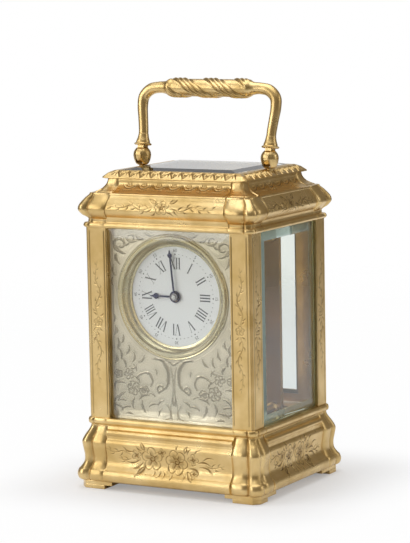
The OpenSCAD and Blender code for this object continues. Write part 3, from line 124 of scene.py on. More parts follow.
# Signed distance to tapered strokes on a regular grid: least over all segments of distance less the half
# width there
def inkField(gx, gz, strokes, reach=1.2, kind=0):
    field = np.full((len(gz), len(gx)), reach)
    for line, width, which in strokes:
        if which != kind:
            continue
        line = np.asarray(line, float)
        width = np.broadcast_to(np.asarray(width, float), len(line))
        pad = reach + width.max()
        i0, i1 = np.searchsorted(gx, [line[:, 0].min() - pad, line[:, 0].max() + pad])
        j0, j1 = np.searchsorted(gz, [line[:, 1].min() - pad, line[:, 1].max() + pad])
        if i0 >= i1 or j0 >= j1:
            continue
        px = gx[i0:i1][None, None, :]
        pz = gz[j0:j1][None, :, None]
        a, d = line[:-1], np.diff(line, axis=0)
        long = np.maximum((d ** 2).sum(1), 1e-9)[:, None, None]
        ax, az, dx, dz = (v[:, None, None] for v in (a[:, 0], a[:, 1], d[:, 0], d[:, 1]))
        t = np.clip(((px - ax) * dx + (pz - az) * dz) / long, 0, 1)
        w = width[:-1][:, None, None] * (1 - t) + width[1:][:, None, None] * t
        dist = np.hypot(px - ax - t * dx, pz - az - t * dz) - w
        field[j0:j1, i0:i1] = np.minimum(field[j0:j1, i0:i1], dist.min(0))
    return field


# Smooth step from 1 inside the ink to 0 outside, over a soft edge
def inkDepth(field, soft=0.18):
    t = np.clip(0.5 - field / (2 * soft), 0, 1)
    return t * t * (3 - 2 * t)


# Strokes, in mm on a flat panel, are (points, half widths, kind): kind 0 a cut line and kind 1 a soft
# painted shade that darkens the colour without going in

# A stroke whose half width rises from a share of w to w near the middle and falls to a share again
def taper(line, w, start=0.15, end=0.1, kind=0):
    t = np.linspace(0, 1, len(line))
    return (line, w * np.interp(t, [0, 0.45, 1], [start, 1, end]), kind)


# A stroke along a spiral: radius and angle, in degrees, run evenly from the first value to the last
def spiral(cx, cz, r0, r1, a0, a1, w, steps=26, start=0.3, end=0.3):
    a = np.radians(np.linspace(a0, a1, steps))
    r = np.linspace(r0, r1, steps)
    return taper(np.stack([cx + r * np.cos(a), cz + r * np.sin(a)], 1), w, start, end)


# Points u along and v beside a direction in degrees, from (x, z)
def placed(u, v, x, z, angle):
    c, s = cos(radians(angle)), sin(radians(angle))
    return np.stack([x + u * c - v * s, z + u * s + v * c], 1)


# A leaf cut in one bowed stroke, as wide in the middle as fat
def leaf(x, z, angle, long, fat=0.45, bow=0.16):
    t = np.linspace(0, 1, 9)
    return [taper(placed(t * long, bow * long * np.sin(np.pi * t), x, z, angle), 0.8 * fat, 0.2, 0.05)]


# A leaf drawn by its two bowed edges, with painted shade along one of them
def openLeaf(x, z, angle, long, fat, w=0.2):
    t = np.linspace(0, 1, 9)
    return [taper(placed(t * long, side * fat * np.sin(np.pi * t ** 0.8), x, z, angle), half, 0.5, 0.3, kind)
            for side, half, kind in ((1, w, 0), (-1, w, 0), (-0.5, 0.45 * fat, 1))]


# A rose: a curled heart in painted shade, petals round it, each with painted shade towards the heart
def rose(cx, cz, r, petals=5, turn=0, w=0.18):
    out = [spiral(cx, cz, 0.08 * r, 0.32 * r, turn, turn + 430, w),
           taper(np.array([[cx - 0.1, cz], [cx + 0.1, cz]]), 0.4 * r, 1, 1, 1)]
    spoke = np.linspace(0.3, 0.72, 5) * r
    for k in range(petals):
        a = turn + 360 * k / petals
        x, z = placed(np.array([0.66 * r]), 0, cx, cz, a)[0]
        out += [spiral(x, z, 0.42 * r, 0.42 * r, a - 118, a + 118, w, 16),
                taper(placed(spoke, 0, cx, cz, a), 0.2 * r, 1, 0.3, 1),
                taper(placed(spoke, 0, cx, cz, a + 14), 0.6 * w, 1, 0.3)]
    return out


# A stem along a curve with small leaves to both sides
def sprig(line, leaves, long, fat, w=0.2):
    line = curveThrough(line, 5)
    out = [taper(line, w)]
    at = evenSteps(line, leaves + 2)[1:]
    for k, (p, q) in enumerate(zip(at[:-1], at[1:])):
        a = degrees(atan2(*(q - p)[::-1]))
        side = 1 if k % 2 else -1
        scale = 1 - 0.45 * k / max(1, leaves)
        out += leaf(p[0], p[1], a + side * 38, long * scale, fat * scale, side * 0.16)
    return out


# The same strokes drawn wider or narrower about the middle
def scaled(strokes, sx):
    return [(np.asarray(p) * [sx, 1], w, k) for p, w, k in strokes]


# The strokes with their mirror image across the middle
def mirrored(strokes):
    return strokes + scaled(strokes, -1)


# Shader nodes

# A node group with (name, kind, value) for each socket going in and (name, kind) for each coming out
def newGroup(name, inputs, outputs):
    g = bpy.data.node_groups.new(name, "ShaderNodeTree")
    for label, kind, value in inputs:
        socket = g.interface.new_socket(name=label, in_out="INPUT", socket_type="NodeSocket" + kind)
        socket.default_value = value
    for label, kind in outputs:
        g.interface.new_socket(name=label, in_out="OUTPUT", socket_type="NodeSocket" + kind)
    return g, g.nodes.new("NodeGroupInput"), g.nodes.new("NodeGroupOutput")


# A material with its tree and its shader, whose own sockets take the given constants
def newMaterial(name, inputs):
    m = bpy.data.materials.new(name)
    m.use_nodes = True
    bsdf = m.node_tree.nodes["Principled BSDF"]
    for key, value in inputs.items():
        bsdf.inputs[key].default_value = value
    return m, m.node_tree, bsdf


# A node; settings that start with in_ are input values, by number or by name
def addNode(tree, kind, **settings):
    n = tree.nodes.new("ShaderNode" + kind)
    for key, value in settings.items():
        if key.startswith("in_"):
            n.inputs[int(key[3:]) if key[3:].isdigit() else key[3:].replace("_", " ")].default_value = value
        else:
            setattr(n, key, value)
    return n


# Links, each given as (node, output, node, input)
def wire(tree, *links):
    for source, out, target, into in links:
        tree.links.new(source.outputs[out], target.inputs[into])


# Handling marks: broad clouds and fine grain, as a roughness change and a height
def buildGrain():
    g, gi, go = newGroup("metalGrain", [("Cloud Scale", "Float", 60.0), ("Grain Scale", "Float", 1500.0),
                                        ("Stretch", "Vector", (1, 1, 1))],
                         [("Cloud", "Float"), ("Grain", "Float")])
    tc = addNode(g, "TexCoord")
    cloud = addNode(g, "TexNoise", in_Detail=3.0)
    fine = addNode(g, "TexNoise", in_Detail=2.0)
    stretch = addNode(g, "VectorMath", operation="MULTIPLY")
    wire(g, (tc, "Object", cloud, "Vector"), (gi, "Cloud Scale", cloud, "Scale"), (tc, "Object", stretch, 0),
         (gi, "Stretch", stretch, 1), (stretch, 0, fine, "Vector"), (gi, "Grain Scale", fine, "Scale"),
         (cloud, "Fac", go, "Cloud"), (fine, "Fac", go, "Grain"))
    return g


# Colour between two tones by a cloud mask, then darkened where the mask is high: in the cut lines, and where
# painted shade is drawn
def buildPatina():
    g, gi, go = newGroup("patinaAndPaintedShade", [("Light", "Color", (1, 1, 1, 1)), ("Deep", "Color", (0, 0, 0, 1)),
                                        ("Dirt", "Color", (0, 0, 0, 1)), ("Cloud", "Float", 0.5),
                                        ("Line And Shade Mask", "Float", 0.0)], [("Color", "Color")])
    ramp = addNode(g, "MapRange", in_1=0.35, in_2=0.68)
    first = addNode(g, "Mix", data_type="RGBA")
    second = addNode(g, "Mix", data_type="RGBA")
    wire(g, (gi, "Cloud", ramp, 0), (ramp, 0, first, "Factor"), (gi, "Light", first, 6),
         (gi, "Deep", first, 7), (gi, "Line And Shade Mask", second, "Factor"), (first, 2, second, 6),
         (gi, "Dirt", second, 7), (second, 2, go, "Color"))
    return g


grainGroup = buildGrain()
patinaShadeGroup = buildPatina()


# A metal: two tones, a darker colour in the cut lines and in painted shade, both from the cut attribute,
# roughness between two values by the clouds, fine grain as bump
def metalMaterial(name, light, deep, dirt, rough, cloudScale=60, grainScale=1500, grainHeight=0.03,
                  stretch=(1, 1, 1), cut=None, coat=0.0):
    m, t, bsdf = newMaterial(name, {"Metallic": 1.0, "Coat Weight": coat, "Coat Roughness": 0.24})
    grain = addNode(t, "Group", node_tree=grainGroup, in_Cloud_Scale=cloudScale, in_Grain_Scale=grainScale,
                    in_Stretch=stretch)
    tone = addNode(t, "Group", node_tree=patinaShadeGroup, in_Light=(*light, 1), in_Deep=(*deep, 1),
                   in_Dirt=(*dirt, 1))
    spread = addNode(t, "MapRange", in_1=0.3, in_2=0.7, in_3=rough[0], in_4=rough[1])
    bump = addNode(t, "Bump", in_Strength=grainHeight, in_Distance=0.0002)
    wire(t, (grain, "Cloud", tone, "Cloud"), (tone, "Color", bsdf, "Base Color"),
         (grain, "Cloud", spread, 0), (spread, 0, bsdf, "Roughness"), (grain, "Grain", bump, "Height"),
         (bump, 0, bsdf, "Normal"))
    if cut:
        wire(t, (addNode(t, "Attribute", attribute_name=cut), "Fac", tone, "Line And Shade Mask"))
    return m


# Gilding: the third colour darkens the cut lines and is the painted shade in grooves, hollows and petals
gilding = dict(light=(0.81, 0.60, 0.28), deep=(0.64, 0.44, 0.165), dirt=(0.19, 0.105, 0.025),
               rough=(0.26, 0.38), cloudScale=90, grainScale=2600, grainHeight=0.35, coat=0.25)
gilt = metalMaterial("fireGilding", **gilding)
giltCut = metalMaterial("fireGildingEngraved", **gilding, cut="cut")
# Mask metal: the third colour darkens the cut lines and is the painted shade round the raised ornament
maskMetal = metalMaterial("silveredMask", (0.60, 0.53, 0.42), (0.46, 0.40, 0.30), (0.10, 0.08, 0.05),
                          (0.28, 0.4), grainHeight=0.2, cut="cut")
bezelMetal = metalMaterial("bezelBrass", (0.56, 0.49, 0.33), (0.44, 0.38, 0.24), (0.2, 0.15, 0.08),
                           (0.2, 0.3))
frameBrass = metalMaterial("grainedBrass", (0.66, 0.46, 0.19), (0.56, 0.37, 0.13), (0.2, 0.1, 0.03),
                           (0.28, 0.4), stretch=(1, 1, 0.04), grainHeight=0.25)
trainBrass = metalMaterial("trainBrass", (0.80, 0.57, 0.24), (0.70, 0.47, 0.17), (0.2, 0.1, 0.03),
                           (0.15, 0.28))
steelMetal = metalMaterial("polishedSteel", (0.56, 0.57, 0.58), (0.47, 0.47, 0.48), (0.1, 0.1, 0.1),
                           (0.16, 0.3))
darkSteel = metalMaterial("darkSteel", (0.30, 0.28, 0.29), (0.20, 0.19, 0.20), (0.05, 0.05, 0.05),
                          (0.22, 0.34))
bluedSteel = metalMaterial("bluedSteel", (0.045, 0.05, 0.11), (0.03, 0.03, 0.06), (0.01, 0.01, 0.01),
                           (0.2, 0.32))
balanceMetal = metalMaterial("balanceBrass", (0.82, 0.62, 0.28), (0.72, 0.5, 0.2), (0.2, 0.1, 0.03),
                             (0.1, 0.2))


# Mask of a bevelled border: 1 where |across| or |z - middle| passes its half size, in metres
def buildBevel():
    g, gi, go = newGroup("bevelBorder", [("Across", "Vector", (1, 0, 0)), ("Half", "Float", 0.03),
                                         ("Middle", "Float", 0.07), ("Half Height", "Float", 0.04)],
                         [("Mask", "Float")])
    tc = addNode(g, "TexCoord")
    along = addNode(g, "VectorMath", operation="DOT_PRODUCT")
    split = addNode(g, "SeparateXYZ")
    off, width, height, wide, high, both = (addNode(g, "Math", operation=kind) for kind in (
        "SUBTRACT", "ABSOLUTE", "ABSOLUTE", "GREATER_THAN", "GREATER_THAN", "MAXIMUM"))
    wire(g, (tc, "Object", along, 0), (gi, "Across", along, 1), (along, "Value", width, 0),
         (width, 0, wide, 0), (gi, "Half", wide, 1), (tc, "Object", split, 0), (split, "Z", off, 0),
         (gi, "Middle", off, 1), (off, 0, height, 0), (height, 0, high, 0), (gi, "Half Height", high, 1),
         (wide, 0, both, 0), (high, 0, both, 1), (both, 0, go, "Mask"))
    return g


bevelGroup = buildBevel()


# The flank panes, in metres: the way across, and half width, middle and half height inside the bevels
flankPane = dict(across=(0, 1, 0), half=0.0216, middle=0.07345, halfHeight=0.03775)


# Clear plate glass with a faint green body and light shadows; a pane also shows its bevels greener, with a
# painted sheen, a pale diffuse layer that grows towards one corner
def glassMaterial(name, tint, pane=None):
    m, t, bsdf = newMaterial(name, {"Transmission Weight": 1.0, "Metallic": 0.0, "IOR": 1.5})
    noise = addNode(t, "TexNoise", in_Scale=45.0, in_Detail=2.0)
    tc = addNode(t, "TexCoord")
    body = addNode(t, "Mix", data_type="RGBA", in_6=(*tint, 1),
                   in_7=(tint[0] * 0.96, tint[1] * 0.985, tint[2] * 0.975, 1))
    smear = addNode(t, "MapRange", in_1=0.45, in_2=0.8, in_3=0.0, in_4=0.03)
    path = addNode(t, "LightPath")
    clear = addNode(t, "BsdfTransparent", in_0=(0.93, 0.96, 0.95, 1))
    pick = addNode(t, "MixShader")
    wire(t, (tc, "Object", noise, "Vector"), (noise, "Fac", body, "Factor"), (body, 2, bsdf, "Base Color"),
         (noise, "Fac", smear, 0), (smear, 0, bsdf, "Roughness"), (path, "Is Shadow Ray", pick, 0))
    seen = bsdf
    if pane:
        edge = addNode(t, "Group", node_tree=bevelGroup, in_Across=pane["across"], in_Half=pane["half"],
                       in_Middle=pane["middle"], in_Half_Height=pane["halfHeight"])
        green = addNode(t, "Mix", data_type="RGBA", in_7=(0.74, 0.88, 0.83, 1))
        # Painted sheen on the bevels: a pale diffuse layer
        bevelSheen = addNode(t, "BsdfDiffuse", in_0=(0.50, 0.62, 0.55, 1))
        corner = addNode(t, "VectorMath", operation="DOT_PRODUCT", in_1=(0, -1, 0.35))
        amount = addNode(t, "MapRange", in_1=0.012, in_2=0.045, in_3=0.06, in_4=0.5)
        part = addNode(t, "Math", operation="MULTIPLY")
        seen = addNode(t, "MixShader")
        wire(t, (edge, "Mask", green, "Factor"), (body, 2, green, 6), (green, 2, bsdf, "Base Color"),
             (tc, "Object", corner, 0), (corner, "Value", amount, 0), (edge, "Mask", part, 0),
             (amount, 0, part, 1), (part, 0, seen, 0), (bsdf, 0, seen, 1), (bevelSheen, 0, seen, 2))
    wire(t, (seen, 0, pick, 1), (clear, 0, pick, 2), (pick, 0, t.nodes["Material Output"], "Surface"))
    return m


plateGlass = glassMaterial("plateGlass", (0.97, 0.99, 0.985))
flankGlass = glassMaterial("flankGlass", (0.95, 0.985, 0.975), flankPane)


# Fired enamel: cool white under a clear coat, with slight waviness
def enamelMaterial(name, low, high, rough):
    m, t, bsdf = newMaterial(name, {"Roughness": rough, "Coat Weight": 0.6, "Coat Roughness": 0.04})
    tc = addNode(t, "TexCoord")
    noise = addNode(t, "TexNoise", in_Scale=90.0, in_Detail=3.0)
    tone = addNode(t, "Mix", data_type="RGBA", in_6=(*low, 1), in_7=(*high, 1))
    bump = addNode(t, "Bump", in_Strength=0.05, in_Distance=0.0003)
    wire(t, (tc, "Object", noise, "Vector"), (noise, "Fac", tone, "Factor"), (tone, 2, bsdf, "Base Color"),
         (noise, "Fac", bump, "Height"), (bump, 0, bsdf, "Normal"))
    return m


enamel = enamelMaterial("firedEnamel", (0.71, 0.70, 0.73), (0.76, 0.75, 0.78), 0.3)
dialBlack = enamelMaterial("dialBlack", (0.05, 0.052, 0.065), (0.09, 0.09, 0.11), 0.45)

finishes = {"gilt": gilt, "mask": maskMetal, "bezel": bezelMetal, "glass": plateGlass, "enamel": enamel,
            "blued_steel": bluedSteel, "brass_frame": frameBrass, "train_brass": trainBrass,
            "steel": steelMetal, "balance_metal": balanceMetal}
special = {"glass_left": flankGlass, "glass_right": flankGlass, "hand_collet": darkSteel}
for part in frame["record"]["subparts"]:
    obj = nodes[part["node"]]
    obj.data.materials.clear()
    obj.data.materials.append(special.get(part["node"], finishes[part["material_slot"]]))
print("finishes on nodes")


# Castings: closed rings of four sides and four rounded corners round the case
castingSize = dict(cornerSteps=65, endSteps=22, grooveWidth=0.3, sharp=38, mostDrop=0.85, cutTone=0.85,
                   shadeTone=0.45)


# Half the length of a side
def halfOf(side):
    return caseSize["halfWidth" if side in ("front", "back") else "halfDepth"]


# A side lies at the outset of its moulding; s runs along it, left to right as seen from outside
def sidePoints(side, s, out, z):
    w, d = caseSize["halfWidth"], caseSize["halfDepth"]
    flat = {"front": (s, -(d + out)), "back": (-s, d + out),
            "right": (w + out, s), "left": (-(w + out), -s)}[side]
    return np.stack([flat[0] + 0 * z, flat[1] + 0 * z, z + 0 * s], -1)


# Heights at which both profiles are well sampled, with the outset of each there
def sharedRows(block, panel, step):
    count = [int(np.hypot(*np.diff(p, axis=0).T).sum() / step) for p in (block, panel)]
    z = np.sort(np.concatenate([evenSteps(p, n)[:, 1] for p, n in zip((block, panel), count)]))
    z = z[np.r_[True, np.diff(z) > 0.012]]
    return z, np.interp(z, block[:, 1], block[:, 0]), np.interp(z, panel[:, 1], panel[:, 0])


# Ink depth at (x, v) points whose rows share one v: linear between the columns of a regular field
def inkAt(strokes, x, v, kind=0, soft=0.18, step=0.2):
    gx = np.arange(x.min() - step, x.max() + 2 * step, step)
    depth = inkDepth(inkField(gx, v, strokes, kind=kind), soft)
    k = (x - gx[0]) / step
    i = np.clip(k.astype(int), 0, len(gx) - 2)
    return np.take_along_axis(depth, i, 1) * (1 - (k - i)) + np.take_along_axis(depth, i + 1, 1) * (k - i)


# Moulding rows closed by the inner rings, with its faces turned outward
def finishCasting(name, rows, node, rings, inner, cut):
    tail = [np.broadcast_to(inner(x, y, z), rows[0].shape) for x, y, z in rings]
    points = np.stack(list(rows) + tail)
    cut = np.vstack([cut, np.zeros((len(tail), points.shape[1]))])
    faces = gridFaces(points.shape[0], points.shape[1], wrapRows=True)
    p = points.reshape(-1, 3)
    normal = np.cross(p[faces[:, 2]] - p[faces[:, 0]], p[faces[:, 3]] - p[faces[:, 1]])
    size = np.linalg.norm(normal, axis=1)
    middle = p[faces].mean(1) - [0, 0, p[:, 2].mean()]
    first = slice(0, (len(rows) - 1) * (points.shape[1] - 1))
    turn = (normal[first] * middle[first])[:, :2].sum() < 0
    makePiece(name, points, faces[size > 1e-4], "case", giltCut, {"cut": cut}, replaced=(node,),
              flip=bool(turn), sharp=castingSize["sharp"])


# Leg of the canted corner at a moulding of this outset: the cant and 2 - sqrt 2 of the outset
def legAt(shape, out):
    return np.maximum(0.04, shape["cant"] + 0.5858 * out)


# Side: outset = panel's within the edge and block's beyond the ramp, less the drop times across to the
# fourth and the cuts, which go in along the surface's normal
def castSide(name, side, node, shape, art):
    half = halfOf(side)
    z, outBlock, outPanel = sharedRows(shape["block"], shape["panel"], shape["step"])
    v = np.r_[0, np.cumsum(np.hypot(np.diff(z), np.diff(outPanel)))] if shape["along"] else z
    edgeAt = half - np.interp(z, [z[0], z[-1]], shape["edge"])
    end = half + outBlock - legAt(shape, outBlock)
    n = int(2 * half / shape["step"])
    ends = castingSize["endSteps"]
    q = np.r_[np.linspace(-2, -1, ends)[:-1], np.linspace(-1, 1, n), np.linspace(1, 2, ends)[1:]]
    over = np.abs(q) - 1
    x = np.sign(q) * np.where(over[None, :] < 0, np.abs(q)[None, :] * edgeAt[:, None],
                              edgeAt[:, None] + over[None, :] * (end - edgeAt)[:, None])
    t = np.clip((np.abs(x) - edgeAt[:, None]) / shape["ramp"] + 1, 0, 1)
    t = t * t * (3 - 2 * t)
    across = np.clip(2 * (np.abs(x) - edgeAt[:, None]) / (end - edgeAt)[:, None] - 1, -1, 1)
    drop = shape["round"] * np.interp(z, *zip(*shape["roundFade"]))[:, None]
    drop = np.where(across < 0, np.minimum(drop, castingSize["mostDrop"] * caseSize["panelSink"]),
                    drop) * (np.abs(x) > edgeAt[:, None] - 1e-6)
    out = outPanel[:, None] * (1 - t) + outBlock[:, None] * t - drop * np.abs(across) ** 4
    strokes = art(side, lambda h: float(np.interp(h, z, v)))
    cut = inkAt(strokes, x, v) * (1 - t)
    # Painted shade: the soft strokes darken the colour and do not go in
    shade = inkAt(strokes, x, v, kind=1, soft=0.5) * (1 - t)
    slope = np.gradient(outPanel, z)
    tilt = 1 / np.sqrt(1 + slope ** 2)
    out = out - shape["depth"] * cut * tilt[:, None]
    lower = z[:, None] + shape["depth"] * cut * (tilt * slope)[:, None]
    points = sidePoints(side, x, out, lower)

    # A ring inside: the last row's shares of the side, drawn in to the ring's own place
    def inner(ix, iy, iz):
        hx = ix if side in ("front", "back") else iy
        depthIn = (iy - caseSize["halfDepth"]) if side in ("front", "back") else (ix - caseSize["halfWidth"])
        s = x[-1] / end[-1] * hx
        return sidePoints(side, s, np.full(len(s), depthIn), np.full(len(s), float(iz)))

    # Colour: darker in the cut lines, with the painted shade added
    dark = np.clip(castingSize["cutTone"] * cut + castingSize["shadeTone"] * shade, 0, 1)
    finishCasting(name + side, points, node, shape["rings"], inner, dark)


# Corner: an elliptic lobe over most of the canted face, between two narrow grooves
def castCorner(name, sx, sy, node, shape):
    z, out, _ = sharedRows(shape["block"], shape["panel"], shape["step"])
    leg = legAt(shape, out)
    reach = (leg / sqrt(2))[:, None]
    u = np.linspace(-1, 1, castingSize["cornerSteps"])[None, :]
    edge = shape["round"] * np.interp(z, *zip(*shape["roundFade"]))[:, None] / sqrt(2)
    tau = u * (reach - edge)
    edge = edge * np.abs(u) ** 6
    w = shape["cover"] * (reach - edge)
    strength = np.interp(z, *zip(*shape["fade"]))[:, None]
    bulge = shape["rise"] * reach * np.sqrt(np.clip(1 - (tau / w) ** 2, 0, 1))
    offLobe = (np.abs(tau) - w) / castingSize["grooveWidth"]
    groove = shape["groove"] * np.exp(-offLobe ** 2) * (1 - np.abs(u) ** 8)
    far = (sqrt(2) * out - leg / sqrt(2))[:, None] + strength * (bulge - groove) - edge
    a, b = (far + tau) / sqrt(2), (far - tau) / sqrt(2)
    points = np.stack([sx * (caseSize["halfWidth"] + a), sy * (caseSize["halfDepth"] + b),
                       z[:, None] + 0 * a], -1)

    # A ring inside is one point in the corner
    def inner(ix, iy, iz):
        return np.array([sx * ix, sy * iy, iz])

    corner = ("Front" if sy < 0 else "Back") + ("Right" if sx > 0 else "Left")
    # Painted shade: the colour darkens in the two grooves beside the lobe, through the cut attribute
    dirt = strength * np.clip(1.6 * groove / max(shape["groove"], 0.01) - 0.4, 0, 1) * 0.7
    finishCasting(name + corner, points, node, shape["rings"], inner, dirt * (shape["groove"] > 0.01))


# All eight pieces of a casting
def casting(name, node, shape, art):
    for side in ("front", "back", "right", "left"):
        castSide(name, side, node, shape, art)
    for sx in (1, -1):
        for sy in (1, -1):
            castCorner(name, sx, sy, node, shape)


zFoot, zTop, sink = caseSize["footHeight"], caseSize["baseTop"], caseSize["panelSink"]
bead = curveThrough([[0.5, zTop - 2.7], [1.1, zTop - 2.4], [1.35, zTop - 1.4], [1.1, zTop - 0.3],
                     [0.8, zTop]], 8)


# The base in section from the foot up: torus, ogee, rim and bead, as (outset, height); sunk sets a panel in
def baseProfile(sunk, rim):
    body = curveThrough([[3.7, zFoot], [4.9, zFoot + 0.8], [5.4, zFoot + 2.8], [4.9, zFoot + 4.8],
                         [4.1 - sunk / 2, zFoot + 5.8], [2.9 - sunk, zFoot + 8], [2.65 - sunk, zFoot + 10.8],
                         [3.1 - sunk, zTop - 13.9], [3.5 - sunk, zTop - 11.1], [3.2 - sunk, zTop - 9.7]], 8)
    return np.vstack([body, rim, bead])


blockRim = curveThrough([[2.9, zTop - 9], [2, zTop - 7.3], [1.1, zTop - 5.9], [0.3, zTop - 4.3],
                         [0.1, zTop - 3.2]], 6)
panelRim = np.vstack([[[1.7, zTop - 8.9], [1.6, zTop - 7.6]],
                      curveThrough([[1.8, zTop - 7.2], [2.15, zTop - 6.2], [1.7, zTop - 5.2]], 6),
                      [[0.5, zTop - 4.7], [0.1, zTop - 3.4]]])


# The bouquet: two full roses, buds and fanned leaves, trailing off to both ends. Each row gives its maker's
# own values: place, then radius, petals and turn for a rose, or angle, length and width for a leaf
bouquetArt = (
    (rose, (-8.2, 15.4, 4.8, 5, 20, 0.22), (4.0, 14.9, 5.0, 6, 50, 0.22), (-16.0, 16.4, 2.3, 4, 30),
     (12.3, 16.6, 2.4, 4, 0), (12.9, 10.6, 1.8, 4, 0), (-3.0, 18.6, 1.7, 4, 10)),
    (leaf, (-13, 13.4, 205, 6.4, 0.6), (-14.6, 14.4, 188, 7, 0.55), (-11.4, 12, 222, 5, 0.6),
     (-17, 18, 165, 5.4, 0.4), (-13.4, 18.6, 140, 3.2, 0.4), (9.6, 18.8, 50, 3.4, 0.45),
     (13, 19, 30, 4.4, 0.4), (10.4, 12.6, 335, 6, 0.6), (14.6, 15.2, 352, 6.4, 0.55),
     (15.2, 13.4, 340, 7.4, 0.5), (17, 16.4, 12, 6, 0.4), (-6.6, 10.8, 262, 2.8, 0.4),
     (-3.4, 10.6, 240, 3.2, 0.4), (-2.2, 10.6, 285, 3, 0.4), (2.2, 10, 265, 2.8, 0.35),
     (7.6, 10.2, 290, 3, 0.4), (4.6, 20.2, 85, 2.2, 0.35)),
    (openLeaf, (-12.2, 11.6, 232, 5.4, 0.8), (9.4, 11.2, 315, 5.2, 0.8), (-11.8, 19, 118, 3.6, 0.7),
     (8.4, 19.4, 70, 3, 0.6)),
    (sprig, ([[-19, 16.4], [-23, 17.8], [-27, 16.8], [-31, 18.4]], 5, 3.4, 0.3),
     ([[-19, 14.6], [-22, 13.6], [-25, 14.4]], 3, 2.6, 0.3),
     ([[18, 14.6], [22, 13.6], [27.4, 15.0]], 5, 3.4, 0.3)))
bouquet = [stroke for make, *rows in bouquetArt for row in rows for stroke in make(*row)]
sideScale = {"front": 1.0, "back": 1.0, "right": 0.84, "left": 0.84}
baseShape = dict(block=baseProfile(0, blockRim), panel=baseProfile(sink, panelRim), edge=(9.2, 9.2),
                 step=0.3, ramp=0.5, depth=0.18, along=False, cant=3.6, cover=0.86, rise=0.66, groove=0.7,
                 round=1.15, roundFade=[(24.5, 1), (28, 0.5), (28.8, 0.2), (31.3, 0.2)],
                 rings=[(27.2, 22.4, zTop), (27.2, 22.4, 24.5), (31.4, 27.2, 24.5), (31.4, 27.2, zFoot)],
                 fade=[(28.4, 1), (29.2, 0.8)])
casting("baseCasting_", "base_frame", baseShape, lambda side, at: scaled(bouquet, sideScale[side]))
print("base casting done")


# Feet: a stepped bracket under each corner, as plan shapes drawn up with rounded edges; each foot's outer
# corner is canted, and a step runs further in than the pad that it stands on
foot = dict(outX=44.55, outY=38.85, cant=2.7, bevel=0.25, step=(28.2, 22.1, 1.7, 3.6),
            pad=(32.0, 29.9, 0.0, 1.9), wallX=31.4, wallY=27.2)


# A prism on a plan, from low to high, with softened edges; the plan winds the same way in every corner
def footPiece(name, plan, low, high):
    after = np.roll(plan, -1, 0)
    if np.sum(plan[:, 0] * after[:, 1] - after[:, 0] * plan[:, 1]) < 0:
        plan = plan[::-1]
    n = len(plan)
    points = np.vstack([np.c_[plan, np.full(n, z)] for z in (low, high)])
    obj = makePiece(name, points, gridFaces(2, n, wrapCols=True), "case", gilt, smooth=False,
                    replaced=("base_frame",), caps=endCaps(2, n))
    soft = obj.modifiers.new("edge", "BEVEL")
    soft.width, soft.segments = foot["bevel"] * mm, 2


for sx in (1, -1):
    for sy in (1, -1):
        where = ("right" if sx > 0 else "left") + ("Back" if sy > 0 else "Front")
        for label in ("Step", "Pad"):
            ix, iy, low, high = foot[label.lower()]
            ox, oy, c = foot["outX"], foot["outY"], foot["cant"]
            plan = [(ix, foot["wallY"] if label == "Step" else iy), (ix, oy), (ox - c, oy), (ox, oy - c),
                    (ox, iy)]
            if label == "Step":
                plan += [(foot["wallX"], iy), (foot["wallX"], foot["wallY"])]
            footPiece("foot" + label + "_" + where, np.array(plan) * [sx, sy], low, high)

zc = caseSize["corniceFoot"]


# The cornice in section: bead, fillet, ovolo, fillet and cavetto; sunk sets a panel in
def corniceProfile(sunk):
    return np.vstack([
        curveThrough([[0.9, 0], [1.35, 0.5], [1.45, 1.1], [1, 2.1]], 6), [[-0.3, 2.3], [-0.3, 3.7]],
        curveThrough([[0.8 - sunk, 4.7], [1.9 - sunk, 5.9], [2.8 - sunk, 7.2], [3 - sunk, 8.4],
                      [2.6 - sunk, 9.8], [1.7 - sunk, 11.2], [0.5 - sunk, 12.7], [-0.6 - sunk / 2, 14]], 8),
        [[-0.9, 14.4], [-1, 15], [-2.5, 15.1]],
        curveThrough([[-3.1 - sunk / 2, 15.5], [-4.6 - sunk / 2, 16.2], [-6.2 - sunk / 2, 17.4],
                      [-7.1 - sunk / 2, 18.8], [-7.5, 20.2]], 8),
        [[-7.6, 20.9]]]) + [0, zc]


# A rose between two leaves, with sprigs that run out to both sides along a wave
def ovoloScrolls(middle):
    s = rose(-1.2, middle, 3.1, 5, 18)
    s += openLeaf(-4.6, middle + 2, 150, 4, 0.8) + openLeaf(2.2, middle + 2.2, 30, 4, 0.8)
    for k in (-1, 1):
        s += sprig([[-1.2 + 4.4 * k, middle + 0.4], [-1.2 + 10 * k, middle - 1.4],
                    [-1.2 + 15 * k, middle + 0.8], [-1.2 + 20 * k, middle - 0.6],
                    [-1.2 + 27 * k, middle + 0.2]], 10, 3.6, 0.42, 0.24)
        s += leaf(-1.2 + 3 * k, middle - 2, -90 + 52 * k, 3.4, 0.5)
        s += leaf(-1.2 + 4.6 * k, middle - 0.6, -90 + 70 * k, 4.2, 0.45)
    return s


# Scallops along the hollow with a fan of cuts under each and a spray where two meet
def hollowWaves(half, top):
    s, pitch = [], 7.4
    count = int(2 * half / pitch)
    for k in range(count):
        x = (k - (count - 1) / 2) * pitch
        s += [spiral(x, top, 3.1, 3.1, 200, 340, 0.26, 16),
              spiral(x, top + 0.3, 2.1, 2.1, 215, 325, 0.18, 12)]
        for a in (235, 270, 305):
            s += leaf(x + 0.9 * cos(radians(a)), top - 0.3, a, 1.5, 0.22)
        for a in (215, 250, 290, 325):
            s += leaf(x + pitch / 2, top - 0.9, a, 2.6, 0.28)
        for d in (-2.2, -1.1, 0, 1.1, 2.2):
            s += leaf(x + d, top - 5.0 + 0.2 * abs(d), 90, 1.0, 0.2)
    return s


